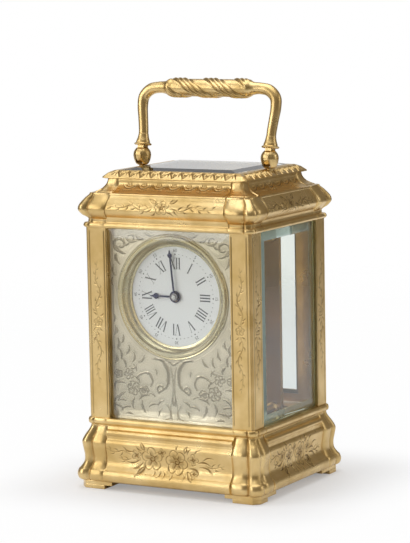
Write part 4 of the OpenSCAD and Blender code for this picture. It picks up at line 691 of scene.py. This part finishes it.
corniceShape = dict(block=corniceProfile(0), panel=corniceProfile(sink), edge=(10.2, 13.0), step=0.3,
                    ramp=0.5, depth=0.16, along=True, cant=3.6, cover=0.86, rise=0.66, groove=0.6, round=1.0,
                    rings=[(28.5, 24.0, zc + 20.9), (28.5, 24.0, zc)],
                    roundFade=[(zc, 0.2), (zc + 4.2, 0.3), (zc + 5.4, 1), (zc + 12.4, 1), (zc + 14.2, 0.4),
                               (zc + 16, 0.6), (zc + 20.9, 0.3)],
                    fade=[(zc + 2, 0.8), (zc + 4.4, 0.6), (zc + 5.4, 1), (zc + 13, 1), (zc + 15, 0.6),
                          (zc + 20, 0.35)])
casting("corniceCasting_", "cornice", corniceShape,
        lambda side, at: scaled(ovoloScrolls(at(zc + 9.9)), sideScale[side])
        + hollowWaves(28.0 if side in ("front", "back") else 22.4, at(zc + 19.6)))
print("cornice casting done")

# Lid frame: a thin lip and a sloping band of chased leaves between zigzag cuts
zLid, zLidTop = caseSize["lidFoot"], caseSize["lidTop"]
lidBand = dict(endGap=9.4, pitch=5.4, lowGap=1.05, highGap=0.25)


# Zigzag cuts along the band, with a leaf and two smaller ones in each point
def leafBand(side, at):
    low, high = at(zLid + lidBand["lowGap"]), at(zLidTop - lidBand["highGap"])
    half = halfOf(side) - lidBand["endGap"]
    count = int(round(2 * half / lidBand["pitch"]))
    pitch = 2 * half / count
    s = []
    for k in range(count + 1):
        x = (k - count / 2) * pitch
        for d in (-1, 1):
            s.append(([[x, low], [x + d * pitch / 2, high]], 0.24, 0))
            s += leaf(x + d * 0.5, low + 1.4, 90 - d * 20, 2.2, 0.26)
        s += leaf(x, low + 1.0, 90, 3.0, 0.34, 0.0)
        s += leaf(x + pitch / 2, high - 1.0, 270, 2.4, 0.34, 0.0)
        for d in (-1, 1):
            s += leaf(x + pitch / 2 + d * 0.7, high - 0.5, 270 + d * 24, 1.9, 0.24)
    return s


lidProfile = np.array([[-6.6, zLid], [-5.2, zLid + 0.3], [-5.2, zLid + 0.8], [-7.55, zLid + 2.52],
                       [-9.9, zLidTop]])
lidShape = dict(block=lidProfile, panel=lidProfile, edge=(9.0, 11.0), step=0.24, ramp=0.4, depth=0.42,
                along=True, cant=5.2, cover=0.9, rise=0.3, groove=0.0, round=0.0,
                roundFade=[(zLid, 0), (zLidTop, 0)], fade=[(zLid, 1), (zLidTop, 1)],
                rings=[(28.6, 24.3, zLidTop), (28.6, 24.3, 137.9), (26.5, 22.2, 137.9), (26.5, 22.2, zLid)])
casting("lidCasting_", "lid_frame", lidShape, leafBand)
print("lid casting done")


# Pillars: the angle section drawn up with engraved outer faces and fine reeds on the corner

# A rose half way up with sprigs up and down from it, between two border lines
def pillarArt(middle, wide):
    s = rose(0, middle, 1.9, 5, 18, 0.2)
    for k in (-1, 1):
        s += sprig([[0, middle + 2.4 * k], [1.3, middle + 7 * k], [-1.2, middle + 13 * k],
                    [1.1, middle + 19 * k], [0, middle + 27 * k]], 11, 2.6, 0.34, 0.2)
        s += leaf(0.8, middle + 2.6 * k, 40 * k, 2.4, 0.4)
        s += leaf(-0.8, middle + 2.6 * k, 180 - 40 * k, 2.4, 0.4)
        s.append(([[k * (wide / 2 - 0.8), 33], [k * (wide / 2 - 0.8), 114]], 0.16, 0))
    return s


pillarShape = dict(frontSteps=34, flankSteps=30, rows=281, reeds=3, reedRise=0.35, slot=1.1, wall=6,
                   cutDepth=0.16, artMiddle=74.0, edgeFade=0.3, cutTone=0.8)


# Plan = front face, half-round reeds across the cant, flank and grooved back, the same at every height; the
# two outer faces go in by the ink depth
def castPillar(name, sx, sy):
    w, d, ox, oy, c, g0, g1, low, high = (caseSize[k] for k in (
        "halfWidth", "halfDepth", "openX", "openY", "cant", "grooveNear", "grooveFar", "baseTop",
        "corniceFoot"))
    frontSteps, flankSteps, reedCount = (pillarShape[k] for k in ("frontSteps", "flankSteps", "reeds"))
    slot, wall = pillarShape["slot"], pillarShape["wall"]
    front = np.linspace(ox, w - c, frontSteps)
    flank = np.linspace(d - c, oy, flankSteps)
    step = c * sqrt(2) / reedCount
    a = np.pi * np.arange(5) / 4
    along = np.concatenate([(i + 0.5) * step - step / 2 * np.cos(a) for i in range(reedCount)])
    out = np.tile(step * pillarShape["reedRise"] * np.sin(a), reedCount)
    reeds = np.stack([w - c + (along + out) / sqrt(2), d - (along - out) / sqrt(2)], 1)[1:-1]
    back = np.array([[w - g0, oy], [w - g0, oy + slot], [w - g1, oy + slot], [w - g1, oy], [w - wall, oy],
                     [w - wall, d - wall], [ox, d - wall], [ox, d - g1], [ox + slot, d - g1],
                     [ox + slot, d - g0], [ox, d - g0]])
    plan = np.vstack([np.c_[front, np.full(frontSteps, d)], reeds, np.c_[np.full(flankSteps, w), flank],
                      back])
    z = np.linspace(low, high, pillarShape["rows"])
    move = np.zeros((len(z), len(plan), 2))
    cut = np.zeros((len(z), len(plan)))
    for first, face, axis in ((0, front, 1), (frontSteps + len(reeds), flank, 0)):
        u, cols = face - face.mean(), slice(first, first + len(face))
        ink = inkAt(pillarArt(pillarShape["artMiddle"], np.ptp(u)), np.broadcast_to(u, (len(z), len(u))), z)
        ink *= np.clip(np.minimum(u - u.min(), u.max() - u) / pillarShape["edgeFade"], 0, 1)
        move[:, cols, axis] = -pillarShape["cutDepth"] * ink
        cut[:, cols] = pillarShape["cutTone"] * ink
    height = np.broadcast_to(z[:, None, None], (len(z), len(plan), 1))
    points = np.concatenate([(plan[None] + move) * [sx, sy], height], 2)
    makePiece("pillarCasting_" + name, points, gridFaces(len(z), len(plan), wrapCols=True), "case",
              giltCut, {"cut": cut}, replaced=("pillar_" + name,), flip=sx * sy > 0,
              caps=endCaps(len(z), len(plan)), sharp=castingSize["sharp"])


for end, sy in (("front", -1), ("rear", 1)):
    for side, sx in (("left", -1), ("right", 1)):
        castPillar(end + "_" + side, sx, sy)
print("pillars done")

# Handle: a smooth swept bar with a leaf-wrapped grip, and at each end a ferrule, a neck and a round tongue
handle = dict(pivotX=32.1, pivotZ=144.7, forkR=3.95, gripHalf=18.6, gripRise=30.2, gripR=4.5, armR=2.15,
              lean=10.0, sides=96, steps=420, pitch=15.5, starts=2, bandShare=0.46, slats=3, sunk=0.6,
              bandLift=0.34, slatLift=0.26, edgeDepth=0.36, edgeGap=0.03, edgeWidth=0.025, sharp=40)


# Points drawn about the pivot with the handle upright, leaned back about X and set at the pivot's place
def leaned(points, x=0.0):
    a = radians(-handle["lean"])
    y, z = points[..., 1], points[..., 2]
    return np.stack([points[..., 0] + x, y * cos(a) - z * sin(a),
                     y * sin(a) + z * cos(a) + handle["pivotZ"]], -1)


# Rings of radius r at height h about an axis, closed at both ends
def turned(profile, sides=48):
    profile = np.asarray(profile, float)
    a = np.linspace(0, 2 * np.pi, sides, endpoint=False)[None, :]
    r, h = np.maximum(profile[:, :1], 0.004), profile[:, 1:] + 0 * a
    n = len(profile)
    points = np.stack([r * np.cos(a), r * np.sin(a), h], -1)
    return points, gridFaces(n, sides, wrapCols=True), endCaps(n, sides)


# Radius = arm radius swelling to the grip; round the grip bands wind at the pitch, with raised slats and
# cuts between
def sweptBow():
    px, rise, gh, ar = handle["pivotX"], handle["gripRise"], handle["gripHalf"], handle["armR"]
    half = np.array([[px, 7.2, ar], [px + 0.15, 11.3, ar], [px + 0.8, rise - 13.5, ar + 0.05],
                     [px + 1.4, rise - 8.4, ar + 0.2], [px + 0.9, rise - 4, ar + 0.35],
                     [px - 2.3, rise - 0.9, ar + 0.45], [px - 6.5, rise, ar + 0.4],
                     [gh + 3.4, rise, ar + 0.75], [gh, rise, handle["gripR"] - 0.15],
                     [gh * 0.6, rise, handle["gripR"]], [0, rise, handle["gripR"]]])
    half = curveThrough(half, 12)
    path = evenSteps(np.vstack([half, half[-2::-1] * [-1, 1, 1]]), handle["steps"])
    tangent = np.gradient(path[:, :2], axis=0)
    tangent /= np.linalg.norm(tangent, axis=1)[:, None]
    side = np.stack([-tangent[:, 1], tangent[:, 0]], 1)
    a = np.linspace(0, 2 * np.pi, handle["sides"], endpoint=False)[None, :]
    x = path[:, :1]
    on = np.clip((gh + 1.6 - np.abs(x)) / 2.4, 0, 1)
    phase = (x / handle["pitch"] - handle["starts"] * a / (2 * np.pi)) % 1
    inBand = np.clip((handle["bandShare"] / 2 - np.abs(phase - 0.5)) / 0.05, 0, 1)
    across = (phase - 0.5) / handle["bandShare"] * handle["slats"] * 2 * np.pi
    band = handle["bandLift"] + handle["slatLift"] * np.cos(across)
    offEdge = (np.abs(phase - 0.5) - handle["bandShare"] / 2 - handle["edgeGap"]) / handle["edgeWidth"]
    edgeCut = np.exp(-offEdge ** 2)
    r = path[:, 2:] + on * (inBand * band - handle["edgeDepth"] * edgeCut) - handle["sunk"] * on
    points = leaned(np.stack([x + r * np.sin(a) * side[:, :1], -r * np.cos(a),
                              path[:, 1:2] + r * np.sin(a) * side[:, 1:]], -1))
    # Colour: darker in the cuts between bands, and painted shade in the hollows between the raised slats
    cut = np.clip(on * (0.8 * edgeCut + inBand * np.clip(-np.cos(across) - 0.25, 0, 1)), 0, 1)
    n, s = len(path), handle["sides"]
    points = points.reshape(-1, 3)
    faces = gridFaces(n, s, wrapCols=True)
    middle = points[faces[0]].mean(0) - points[:s].mean(0)
    normal = np.cross(points[faces[0, 2]] - points[faces[0, 0]], points[faces[0, 3]] - points[faces[0, 1]])
    makePiece("handleBow", points, faces, "carrying_handle", giltCut, {"cut": cut},
              replaced=("handle",), flip=bool(normal @ middle < 0), caps=endCaps(n, s))


sweptBow()
tongueProfile = curveThrough([[0.02, -1.5], [3.1, -1.5], [3.5, -1.25], [3.6, -0.9], [3.6, 0.9], [3.5, 1.25],
                              [3.1, 1.5], [0.02, 1.5]], 3)
fr = handle["forkR"]
ferruleProfile = np.vstack([[[2.6, fr + 0.25], [3.3, fr + 0.25]],
                            curveThrough([[3.7, fr + 0.4], [3.9, fr + 0.75], [3.7, fr + 1.1],
                                          [3.2, fr + 1.3]], 4),
                            curveThrough([[3.15, fr + 1.4], [3.0, fr + 2.2], [2.65, fr + 3.2],
                                          [2.4, fr + 4.2], [2.25, fr + 5.2], [2.1, fr + 5.6]], 4)])
neckPlan = ((-1.5, -2), (1.5, -2), (1.5, 2), (-1.5, 2))
for sx, name in ((-1, "Left"), (1, "Right")):
    ends = {"handleFerrule": turned(ferruleProfile), "handleTongue": turned(tongueProfile)}
    points, faces, caps = ends["handleTongue"]
    ends["handleTongue"] = points[..., [2, 1, 0]] * [1, 1, -1], faces, caps
    box = np.array([[x, y, z] for z in (1.0, fr + 0.5) for x, y in neckPlan])
    ends["handleNeck"] = box, gridFaces(2, 4, wrapCols=True), endCaps(2, 4)
    for label, (points, faces, caps) in ends.items():
        makePiece(label + name, leaned(points, sx * handle["pivotX"]), faces, "carrying_handle",
                  gilt, replaced=("handle",), caps=caps, sharp=handle["sharp"])
print("handle done")

# Dial printing: numerals, minute track and small figures, as thin flat shapes on the enamel
dial = dict(centreZ=86.0, face=-27.14, romanIn=12.0, romanOut=17.0, romanWide=5.6, dotRadius=18.5,
            hourDot=0.34, minuteDot=0.2, figureRadius=20.15, figureSize=2.0, figureSqueeze=0.95,
            letterGap=0.28)


# Bars given as (x0, z0, x1, z1, half width) turned to quads
def barQuads(bars):
    b = np.asarray(bars, float)
    d = b[:, 2:4] - b[:, 0:2]
    n = np.stack([-d[:, 1], d[:, 0]], 1) / np.linalg.norm(d, axis=1)[:, None] * b[:, 4:5]
    return np.stack([b[:, 0:2] + n, b[:, 0:2] - n, b[:, 2:4] - n, b[:, 2:4] + n], 1)


# Each letter: advance; strokes (x, height, x, height, half width), heights as shares; serifs at the top and
# at the foot
letters = {"I": (1.28, [(0.5, 0, 0.5, 1, 0.28)], [(0, 1)], [(0, 1)]),
           "V": (2.85, [(0.3, 1, 1.35, 0.02, 0.28), (2.4, 1, 1.5, 0.02, 0.08)],
                 [(-0.2, 0.95), (1.9, 2.9)], []),
           "X": (2.75, [(0.3, 1, 2.2, 0, 0.28), (2.2, 1, 0.3, 0, 0.08)], [(-0.2, 0.9), (1.7, 2.7)],
                 [(-0.2, 0.8), (1.6, 2.8)])}


# A numeral as bars, from x = 0, and its width
def romanBars(text, height, serif=0.06):
    bars, x = [], 0.0
    for letter in text:
        advance, strokes, top, low = letters[letter]
        bars += [(x + a, b * height, x + c, d * height, w) for a, b, c, d, w in strokes]
        bars += [(x + a, z, x + b, z, serif)
                 for z, ends in ((height - serif, top), (serif, low)) for a, b in ends]
        x += advance
    return bars, x


# Flat points turned clockwise from the top to an hour
def atHour(x, z, hour):
    a = radians(30 * hour)
    return np.stack([x * cos(a) + z * sin(a), z * cos(a) - x * sin(a)], -1)


# Flat points about the middle of the dial, laid on the enamel
def printOnDial(name, flat, faces):
    points = np.stack([flat[:, 0], np.full(len(flat), dial["face"]), flat[:, 1] + dial["centreZ"]], 1)
    makePiece(name, points, faces, "case", dialBlack, smooth=False)


# Numerals as bars turned to their hours, and a ring of eight-sided dots, larger at the hours
def dialPrinting():
    quads = []
    for hour, text in enumerate("XII I II III IIII V VI VII VIII IX X XI".split()):
        bars, wide = romanBars(text, dial["romanOut"] - dial["romanIn"])
        q = barQuads(bars)
        q[..., 0] = (q[..., 0] - (wide - dial["letterGap"]) / 2) * min(1, dial["romanWide"] / wide)
        quads.append(atHour(q[..., 0], q[..., 1] + dial["romanIn"], hour))
    quads = np.concatenate(quads).reshape(-1, 2)
    faces = np.arange(len(quads)).reshape(-1, 4)
    minute = np.arange(60)
    ring = np.linspace(0, 2 * np.pi, 9)[:-1]
    size = np.where(minute % 5 == 0, dial["hourDot"], dial["minuteDot"])[:, None]
    a = np.radians(6 * minute)[:, None]
    dots = dial["dotRadius"] * np.stack([np.sin(a) + 0 * ring, np.cos(a) + 0 * ring], -1)
    dots += np.stack([size * np.cos(ring), size * np.sin(ring)], -1)
    oneDot = np.array([[0, 1, 2, 3], [0, 3, 4, 7], [4, 5, 6, 7]])
    dotFaces = (minute[:, None, None] * 8 + oneDot).reshape(-1, 4)
    flat = np.vstack([quads, dots.reshape(-1, 2)])
    faces = np.vstack([faces, dotFaces + len(quads)])
    area = np.cross(flat[faces[:, 1]] - flat[faces[:, 0]], flat[faces[:, 2]] - flat[faces[:, 0]])
    printOnDial("dialPrinting", flat, np.where(area[:, None] > 0, faces, faces[:, ::-1]))


dialPrinting()


# The small figures: text made into a mesh, then turned into place
def smallFigures():
    allPoints, allFaces, start = [], [], 0
    for hour in range(12):
        curve = bpy.data.curves.new("figure", "FONT")
        curve.body = str(5 * hour or 60)
        curve.size = dial["figureSize"]
        curve.align_x = curve.align_y = "CENTER"
        curve.resolution_u = 3
        obj = addObject("figure", curve)
        bpy.context.view_layer.update()
        me = bpy.data.meshes.new_from_object(obj.evaluated_get(bpy.context.evaluated_depsgraph_get()))
        me.calc_loop_triangles()
        co = np.zeros(len(me.vertices) * 3)
        me.vertices.foreach_get("co", co)
        tri = np.zeros(len(me.loop_triangles) * 3, np.int32)
        me.loop_triangles.foreach_get("vertices", tri)
        co = co.reshape(-1, 3)
        allPoints.append(atHour(co[:, 0] * dial["figureSqueeze"], co[:, 1] + dial["figureRadius"], hour))
        allFaces.append(tri.reshape(-1, 3) + start)
        start += len(co)
        bpy.data.objects.remove(obj)
        bpy.data.curves.remove(curve)
        bpy.data.meshes.remove(me)
    printOnDial("minuteFigures", np.vstack(allPoints), np.vstack(allFaces))


smallFigures()
print("dial printed")


# The engraved mask round the dial
mask = dict(face=-30.44, halfX=30.6, low=31.5, high=115.4, hole=27.35, step=0.22, relief=0.12, stipple=0.12,
            ringCut=0.10, ringR=28.6, borderIn=1.0, outlineAt=0.22)


# Half of the mask's ornament, mirrored later: curves as (points, half width, its share at the start and the
# end), and leaves as (x, z, angle, length), below the dial and then above it
maskArt = dict(
    curves=[([[9.8, 58.8], [6.1, 58.3], [4.2, 56.5], [2.9, 54], [2.6, 50.8], [3.4, 47], [7.5, 44]],
             0.85, 0.4, 0.5),
            ([[19, 49.6], [16, 51.8], [12.4, 52], [10.5, 48.8], [11.6, 46.4]], 0.55, 0.4, 0.5),
            ([[1.5, 55.4], [0.6, 51.6], [0.4, 43.9], [2, 36], [1.2, 32.6]], 0.24, 0.6, 0.6),
            ([[3.4, 38.8], [1.7, 35.6], [2.2, 33.4], [4.4, 32.6]], 0.4, 0.4, 0.6)],
    low=[(13, 44, 10, 5), (12.6, 42.4, -25, 5.6), (17, 47.6, 40, 4.6), (24, 54, 60, 4.6),
         (20.5, 56.6, 100, 4.2), (17.4, 56.6, 130, 4.4), (26.4, 57.4, 80, 4.8), (28, 62, 92, 4.8),
         (25, 47, -10, 5), (24.6, 43, -50, 5.2), (20, 40.6, -85, 5), (16, 39.6, -110, 5),
         (27.6, 41, -60, 4.4), (22, 36.6, -20, 5), (26.4, 35.6, 20, 4.2), (0.6, 42, 250, 4),
         (8.6, 51.6, 80, 2.4), (5, 40.6, -40, 4), (8.4, 38.6, -20, 4.6), (6, 36.8, -60, 3.4),
         (9.6, 42, 20, 3), (29, 68, 96, 4.2), (29.2, 74, 94, 3.4), (23.6, 60, 110, 4.2), (26, 64.6, 100, 4),
         (21.6, 53.6, 150, 3.6), (17.2, 43.4, 200, 3.6), (28.4, 47.4, -80, 4), (29, 55.6, 95, 4),
         (21, 33.6, 0, 4), (29, 38, -85, 4), (18.6, 52.6, 60, 3.2), (24.4, 39, 0, 3.4)],
    high=[(27.6, 104, 250, 5), (27.4, 107.4, 215, 5.6), (22.8, 111.2, 190, 6), (24, 108, 150, 4),
          (18, 112.4, 198, 5), (28.8, 99, 262, 4.8), (13, 113.4, 190, 4.6), (29.4, 93.6, 268, 4)],
    roses=[(20.2, 45.2, 2.9, 6, 15, 0.2), (22.6, 51.2, 2.2, 5, 0), (14.4, 44.6, 1.7, 5, 40),
           (27.7, 51.0, 1.7, 5, 0)])


# Bold curves and fine leaves, each with its mirror image
def maskOrnament():
    bold = [taper(curveThrough(points, 6), *width) for points, *width in maskArt["curves"]]
    bold += [taper(np.array([[4, 58.9], [0, 56.4]]), 0.4, 0.6, 1),
             spiral(6.4, 45.6, 2.0, 0.5, -60, 330, 0.45, 24, 1, 0.6)]
    fine = [spiral(25.4, 108.2, 3.4, 1.0, -60, 300, 0.5, 30, 0.6, 0.6),
            spiral(19.8, 110.8, 1.7, 0.6, 30, 300, 0.36, 20, 0.6, 0.6)]
    for row in maskArt["roses"]:
        fine += rose(*row)
    for part, fat in (("low", 0.13), ("high", 0.14)):
        for x, z, a, long in maskArt[part]:
            fine += leaf(x, z, a, long, long * fat, 0.17)
    return mirrored(bold), mirrored(fine)


# Height rises inside the strokes over a soft edge; dark lines of painted shade outline them at their foot,
# with a stippled ground between
def buildMask():
    gx = np.arange(-mask["halfX"], mask["halfX"] + 0.001, mask["step"])
    gz = np.arange(mask["low"], mask["high"] + 0.001, mask["step"])
    bold, fine = maskOrnament()
    boldField, fineField = inkField(gx, gz, bold, 1.6), inkField(gx, gz, fine, 1.6)
    field = np.minimum(boldField, fineField)
    raised = inkDepth(field, 0.2)
    outline = np.clip(1 - np.abs(field - mask["outlineAt"]) / 0.24, 0, 1)
    stipple = np.random.default_rng(7).random(field.shape)
    stipple = (stipple + np.roll(stipple, 1, 0) + np.roll(stipple, 1, 1)) / 3
    x, z = np.meshgrid(gx, gz)
    r = np.hypot(x, z - dial["centreZ"])
    ground = np.clip(1.3 - field, 0, 1) * (1 - raised)
    border = np.minimum(mask["halfX"] - np.abs(x), np.minimum(z - mask["low"], mask["high"] - z))
    rings = np.maximum(np.clip(1 - np.abs(r - mask["ringR"]) / 0.22, 0, 1),
                       np.clip(1 - np.abs(border - mask["borderIn"]) / 0.2, 0, 1))
    height = mask["relief"] * raised - mask["stipple"] * stipple * ground - mask["ringCut"] * rings
    filled = 0.55 * inkDepth(fineField, 0.15) + 0.66 * inkDepth(boldField + 0.12, 0.15)
    # Colour: painted shade in the outline round the raised strokes, with the strokes, stippled ground and
    # ring lines darker as well
    cut = np.clip(0.8 * outline + filled + 0.8 * (stipple - 0.2) * ground + 0.7 * rings, 0, 1)
    rc = np.hypot(*np.meshgrid((gx[1:] + gx[:-1]) / 2, (gz[1:] + gz[:-1]) / 2 - dial["centreZ"]))
    snap = np.where(r < mask["hole"] + 0.11, mask["hole"] / np.maximum(r, 0.1), 1)
    points = np.stack([x * snap, mask["face"] - height, (z - dial["centreZ"]) * snap + dial["centreZ"]], -1)
    makePiece("maskEngraving", points, gridFaces(*x.shape, keep=rc > mask["hole"]), "case",
              maskMetal, {"cut": cut})


buildMask()
print("mask engraved")

# Stage: a floor that fades out, soft lamps and a white background
stage = dict(floorHalf=1.6, floorFade=(0.42, 0.75), floorNear=0.3, floorShown=0.95, glowReach=0.055,
             footprint=(0.046, 0.040, 1.0), worldFill=0.5, worldGloss=0.25, shade=(1.0, 0.86, 0.66),
             reflectors=[((-0.5, 0.86, 0.13), 0.86, 0.5), ((-0.5, -0.86, 0.0), 0.75, 0.17),
                         ((-0.1, -0.3, 0.95), 0.6, 0.4)],
             lamps=[("keyLamp", (-1.1, -0.85, 0.7), (0, 0, 0.08), (0.8, 0.8), 5.4),
                    ("frontLamp", (-0.65, -1.2, 0.32), (0, 0, 0.05), (0.45, 0.3), 1.3),
                    ("topLamp", (-0.1, 0.0, 1.3), (0, 0, 0.05), (1.2, 1.2), 8),
                    ("sideLamp", (1.2, 0.5, 0.6), (0, 0, 0.08), (0.5, 0.9), 2.0)])


# Pale floor: camera rays see mostly white light, less of it near the clock to show the shadow, and it fades
def buildFloor():
    me = bpy.data.meshes.new("floor")
    r = stage["floorHalf"]
    me.from_pydata([(-r, -r, 0), (r, -r, 0), (r, r, 0), (-r, r, 0)], [], [(0, 1, 2, 3)])
    m, t, bsdf = newMaterial("paleFloor", {"Base Color": (0.94, 0.94, 0.95, 1), "Roughness": 0.7,
                                           "Specular IOR Level": 0.2})
    path = addNode(t, "LightPath")
    tc = addNode(t, "TexCoord")
    size = addNode(t, "VectorMath", operation="ABSOLUTE")
    beyond = addNode(t, "VectorMath", operation="SUBTRACT", in_1=stage["footprint"])
    outside = addNode(t, "VectorMath", operation="MAXIMUM")
    apart, dist = (addNode(t, "VectorMath", operation="LENGTH") for k in range(2))
    share = addNode(t, "MapRange", interpolation_type="SMOOTHSTEP", in_1=0.0, in_2=stage["glowReach"],
                    in_3=stage["floorNear"], in_4=stage["floorShown"])
    keep = addNode(t, "Math", operation="MULTIPLY")
    glow = addNode(t, "Emission", in_0=(1, 1, 1, 1), in_1=1.0)
    fade = addNode(t, "MapRange", in_1=stage["floorFade"][0], in_2=stage["floorFade"][1])
    clear = addNode(t, "BsdfTransparent")
    mix, last = (addNode(t, "MixShader") for k in range(2))
    wire(t, (tc, "Object", size, 0), (size, 0, beyond, 0), (beyond, 0, outside, 0), (outside, 0, apart, 0),
         (apart, "Value", share, 0), (share, 0, keep, 1), (path, "Is Camera Ray", keep, 0),
         (keep, 0, mix, 0), (bsdf, 0, mix, 1), (glow, 0, mix, 2), (tc, "Object", dist, 0),
         (dist, "Value", fade, 0), (fade, 0, last, 0), (mix, 0, last, 1), (clear, 0, last, 2),
         (last, 0, t.nodes["Material Output"], "Surface"))
    me.materials.append(m)
    addObject("floor", me)


buildFloor()


# A soft lamp of the given size in metres, turned to its target
def areaLamp(name, place, target, size, power):
    light = bpy.data.lights.new(name, "AREA")
    light.shape = "RECTANGLE"
    light.size, light.size_y = size
    light.energy = power
    obj = addObject(name, light)
    obj.location = place
    obj.rotation_euler = (Vector(target) - Vector(place)).to_track_quat("-Z", "Y").to_euler()


for lamp in stage["lamps"]:
    areaLamp(*lamp)


# Camera and transmission rays see white, glossy rays a dim warm room with soft reflectors, all others an
# even fill; a reflector adds strength where the direction looks towards it and whitens the colour there
def buildWorld():
    world = bpy.data.worlds.new("studio")
    bpy.context.scene.world = world
    world.use_nodes = True
    t = world.node_tree
    background = t.nodes["Background"]
    path = addNode(t, "LightPath")
    tc = addNode(t, "TexCoord")
    split = addNode(t, "SeparateXYZ")
    rise = addNode(t, "MapRange", in_1=-0.3, in_2=0.7, in_3=0.62, in_4=0.95)
    fill = addNode(t, "Math", operation="MULTIPLY", in_1=stage["worldFill"])
    gloss = addNode(t, "Math", operation="MULTIPLY", in_1=stage["worldGloss"])
    wire(t, (tc, "Generated", split, 0), (split, "Z", rise, 0), (rise, 0, fill, 0), (rise, 0, gloss, 0))
    for facing, near, strength in stage["reflectors"]:
        towards = addNode(t, "VectorMath", operation="DOT_PRODUCT", in_1=facing)
        panel = addNode(t, "MapRange", interpolation_type="SMOOTHSTEP", in_1=near, in_2=1.0, in_3=0.0,
                        in_4=strength)
        total = addNode(t, "Math", operation="ADD")
        wire(t, (tc, "Generated", towards, 0), (towards, "Value", panel, 0), (gloss, 0, total, 0),
             (panel, 0, total, 1))
        gloss = total
    pickGloss = addNode(t, "Mix", data_type="FLOAT")
    direct = addNode(t, "Math", operation="MAXIMUM")
    pickSeen = addNode(t, "Mix", data_type="FLOAT", in_3=1.0)
    whiten = addNode(t, "MapRange", in_1=0.25, in_2=0.5)
    notGlossy = addNode(t, "Math", operation="SUBTRACT", in_0=1.0)
    white = addNode(t, "Math", operation="MAXIMUM")
    color = addNode(t, "Mix", data_type="RGBA", in_6=(*stage["shade"], 1), in_7=(1, 1, 1, 1))
    wire(t, (path, "Is Glossy Ray", pickGloss, 0), (fill, 0, pickGloss, 2), (gloss, 0, pickGloss, 3),
         (path, "Is Camera Ray", direct, 0), (path, "Is Transmission Ray", direct, 1),
         (direct, 0, pickSeen, 0), (pickGloss, 0, pickSeen, 2), (pickSeen, 0, background, "Strength"),
         (gloss, 0, whiten, 0), (path, "Is Glossy Ray", notGlossy, 1), (whiten, 0, white, 0),
         (notGlossy, 0, white, 1), (white, 0, color, "Factor"), (color, 2, background, "Color"))


buildWorld()

# Camera, from the case edges in the photograph: angles in degrees, the focal length and the frame's height
# in pixels, the sensor's in mm
view = dict(place=(0.515231, -0.919043, 0.231589), yaw=29.328, pitch=-7.465, roll=-1.0667, focal=2400.0,
            frame=543, sensor=36, clipEnd=20)
yaw, pitch, roll = (radians(view[k]) for k in ("yaw", "pitch", "roll"))
ahead = Vector((-sin(yaw) * cos(pitch), cos(yaw) * cos(pitch), sin(pitch)))
right = ahead.cross(Vector((0, 0, 1))).normalized()
up = right.cross(ahead)
right, up = cos(roll) * right + sin(roll) * up, -sin(roll) * right + cos(roll) * up
cam = bpy.data.cameras.new("camera")
cam.sensor_width = view["sensor"]
cam.lens = view["focal"] * view["sensor"] / view["frame"]
cam.clip_end = view["clipEnd"]
camObj = addObject("camera", cam)
camObj.matrix_world = Matrix.Translation(view["place"]) @ Matrix((right, up, -ahead)).transposed().to_4x4()
bpy.context.scene.camera = camObj
bpy.context.scene.view_settings.view_transform = "Standard"

bpy.context.view_layer.update()
print("stage and camera set")
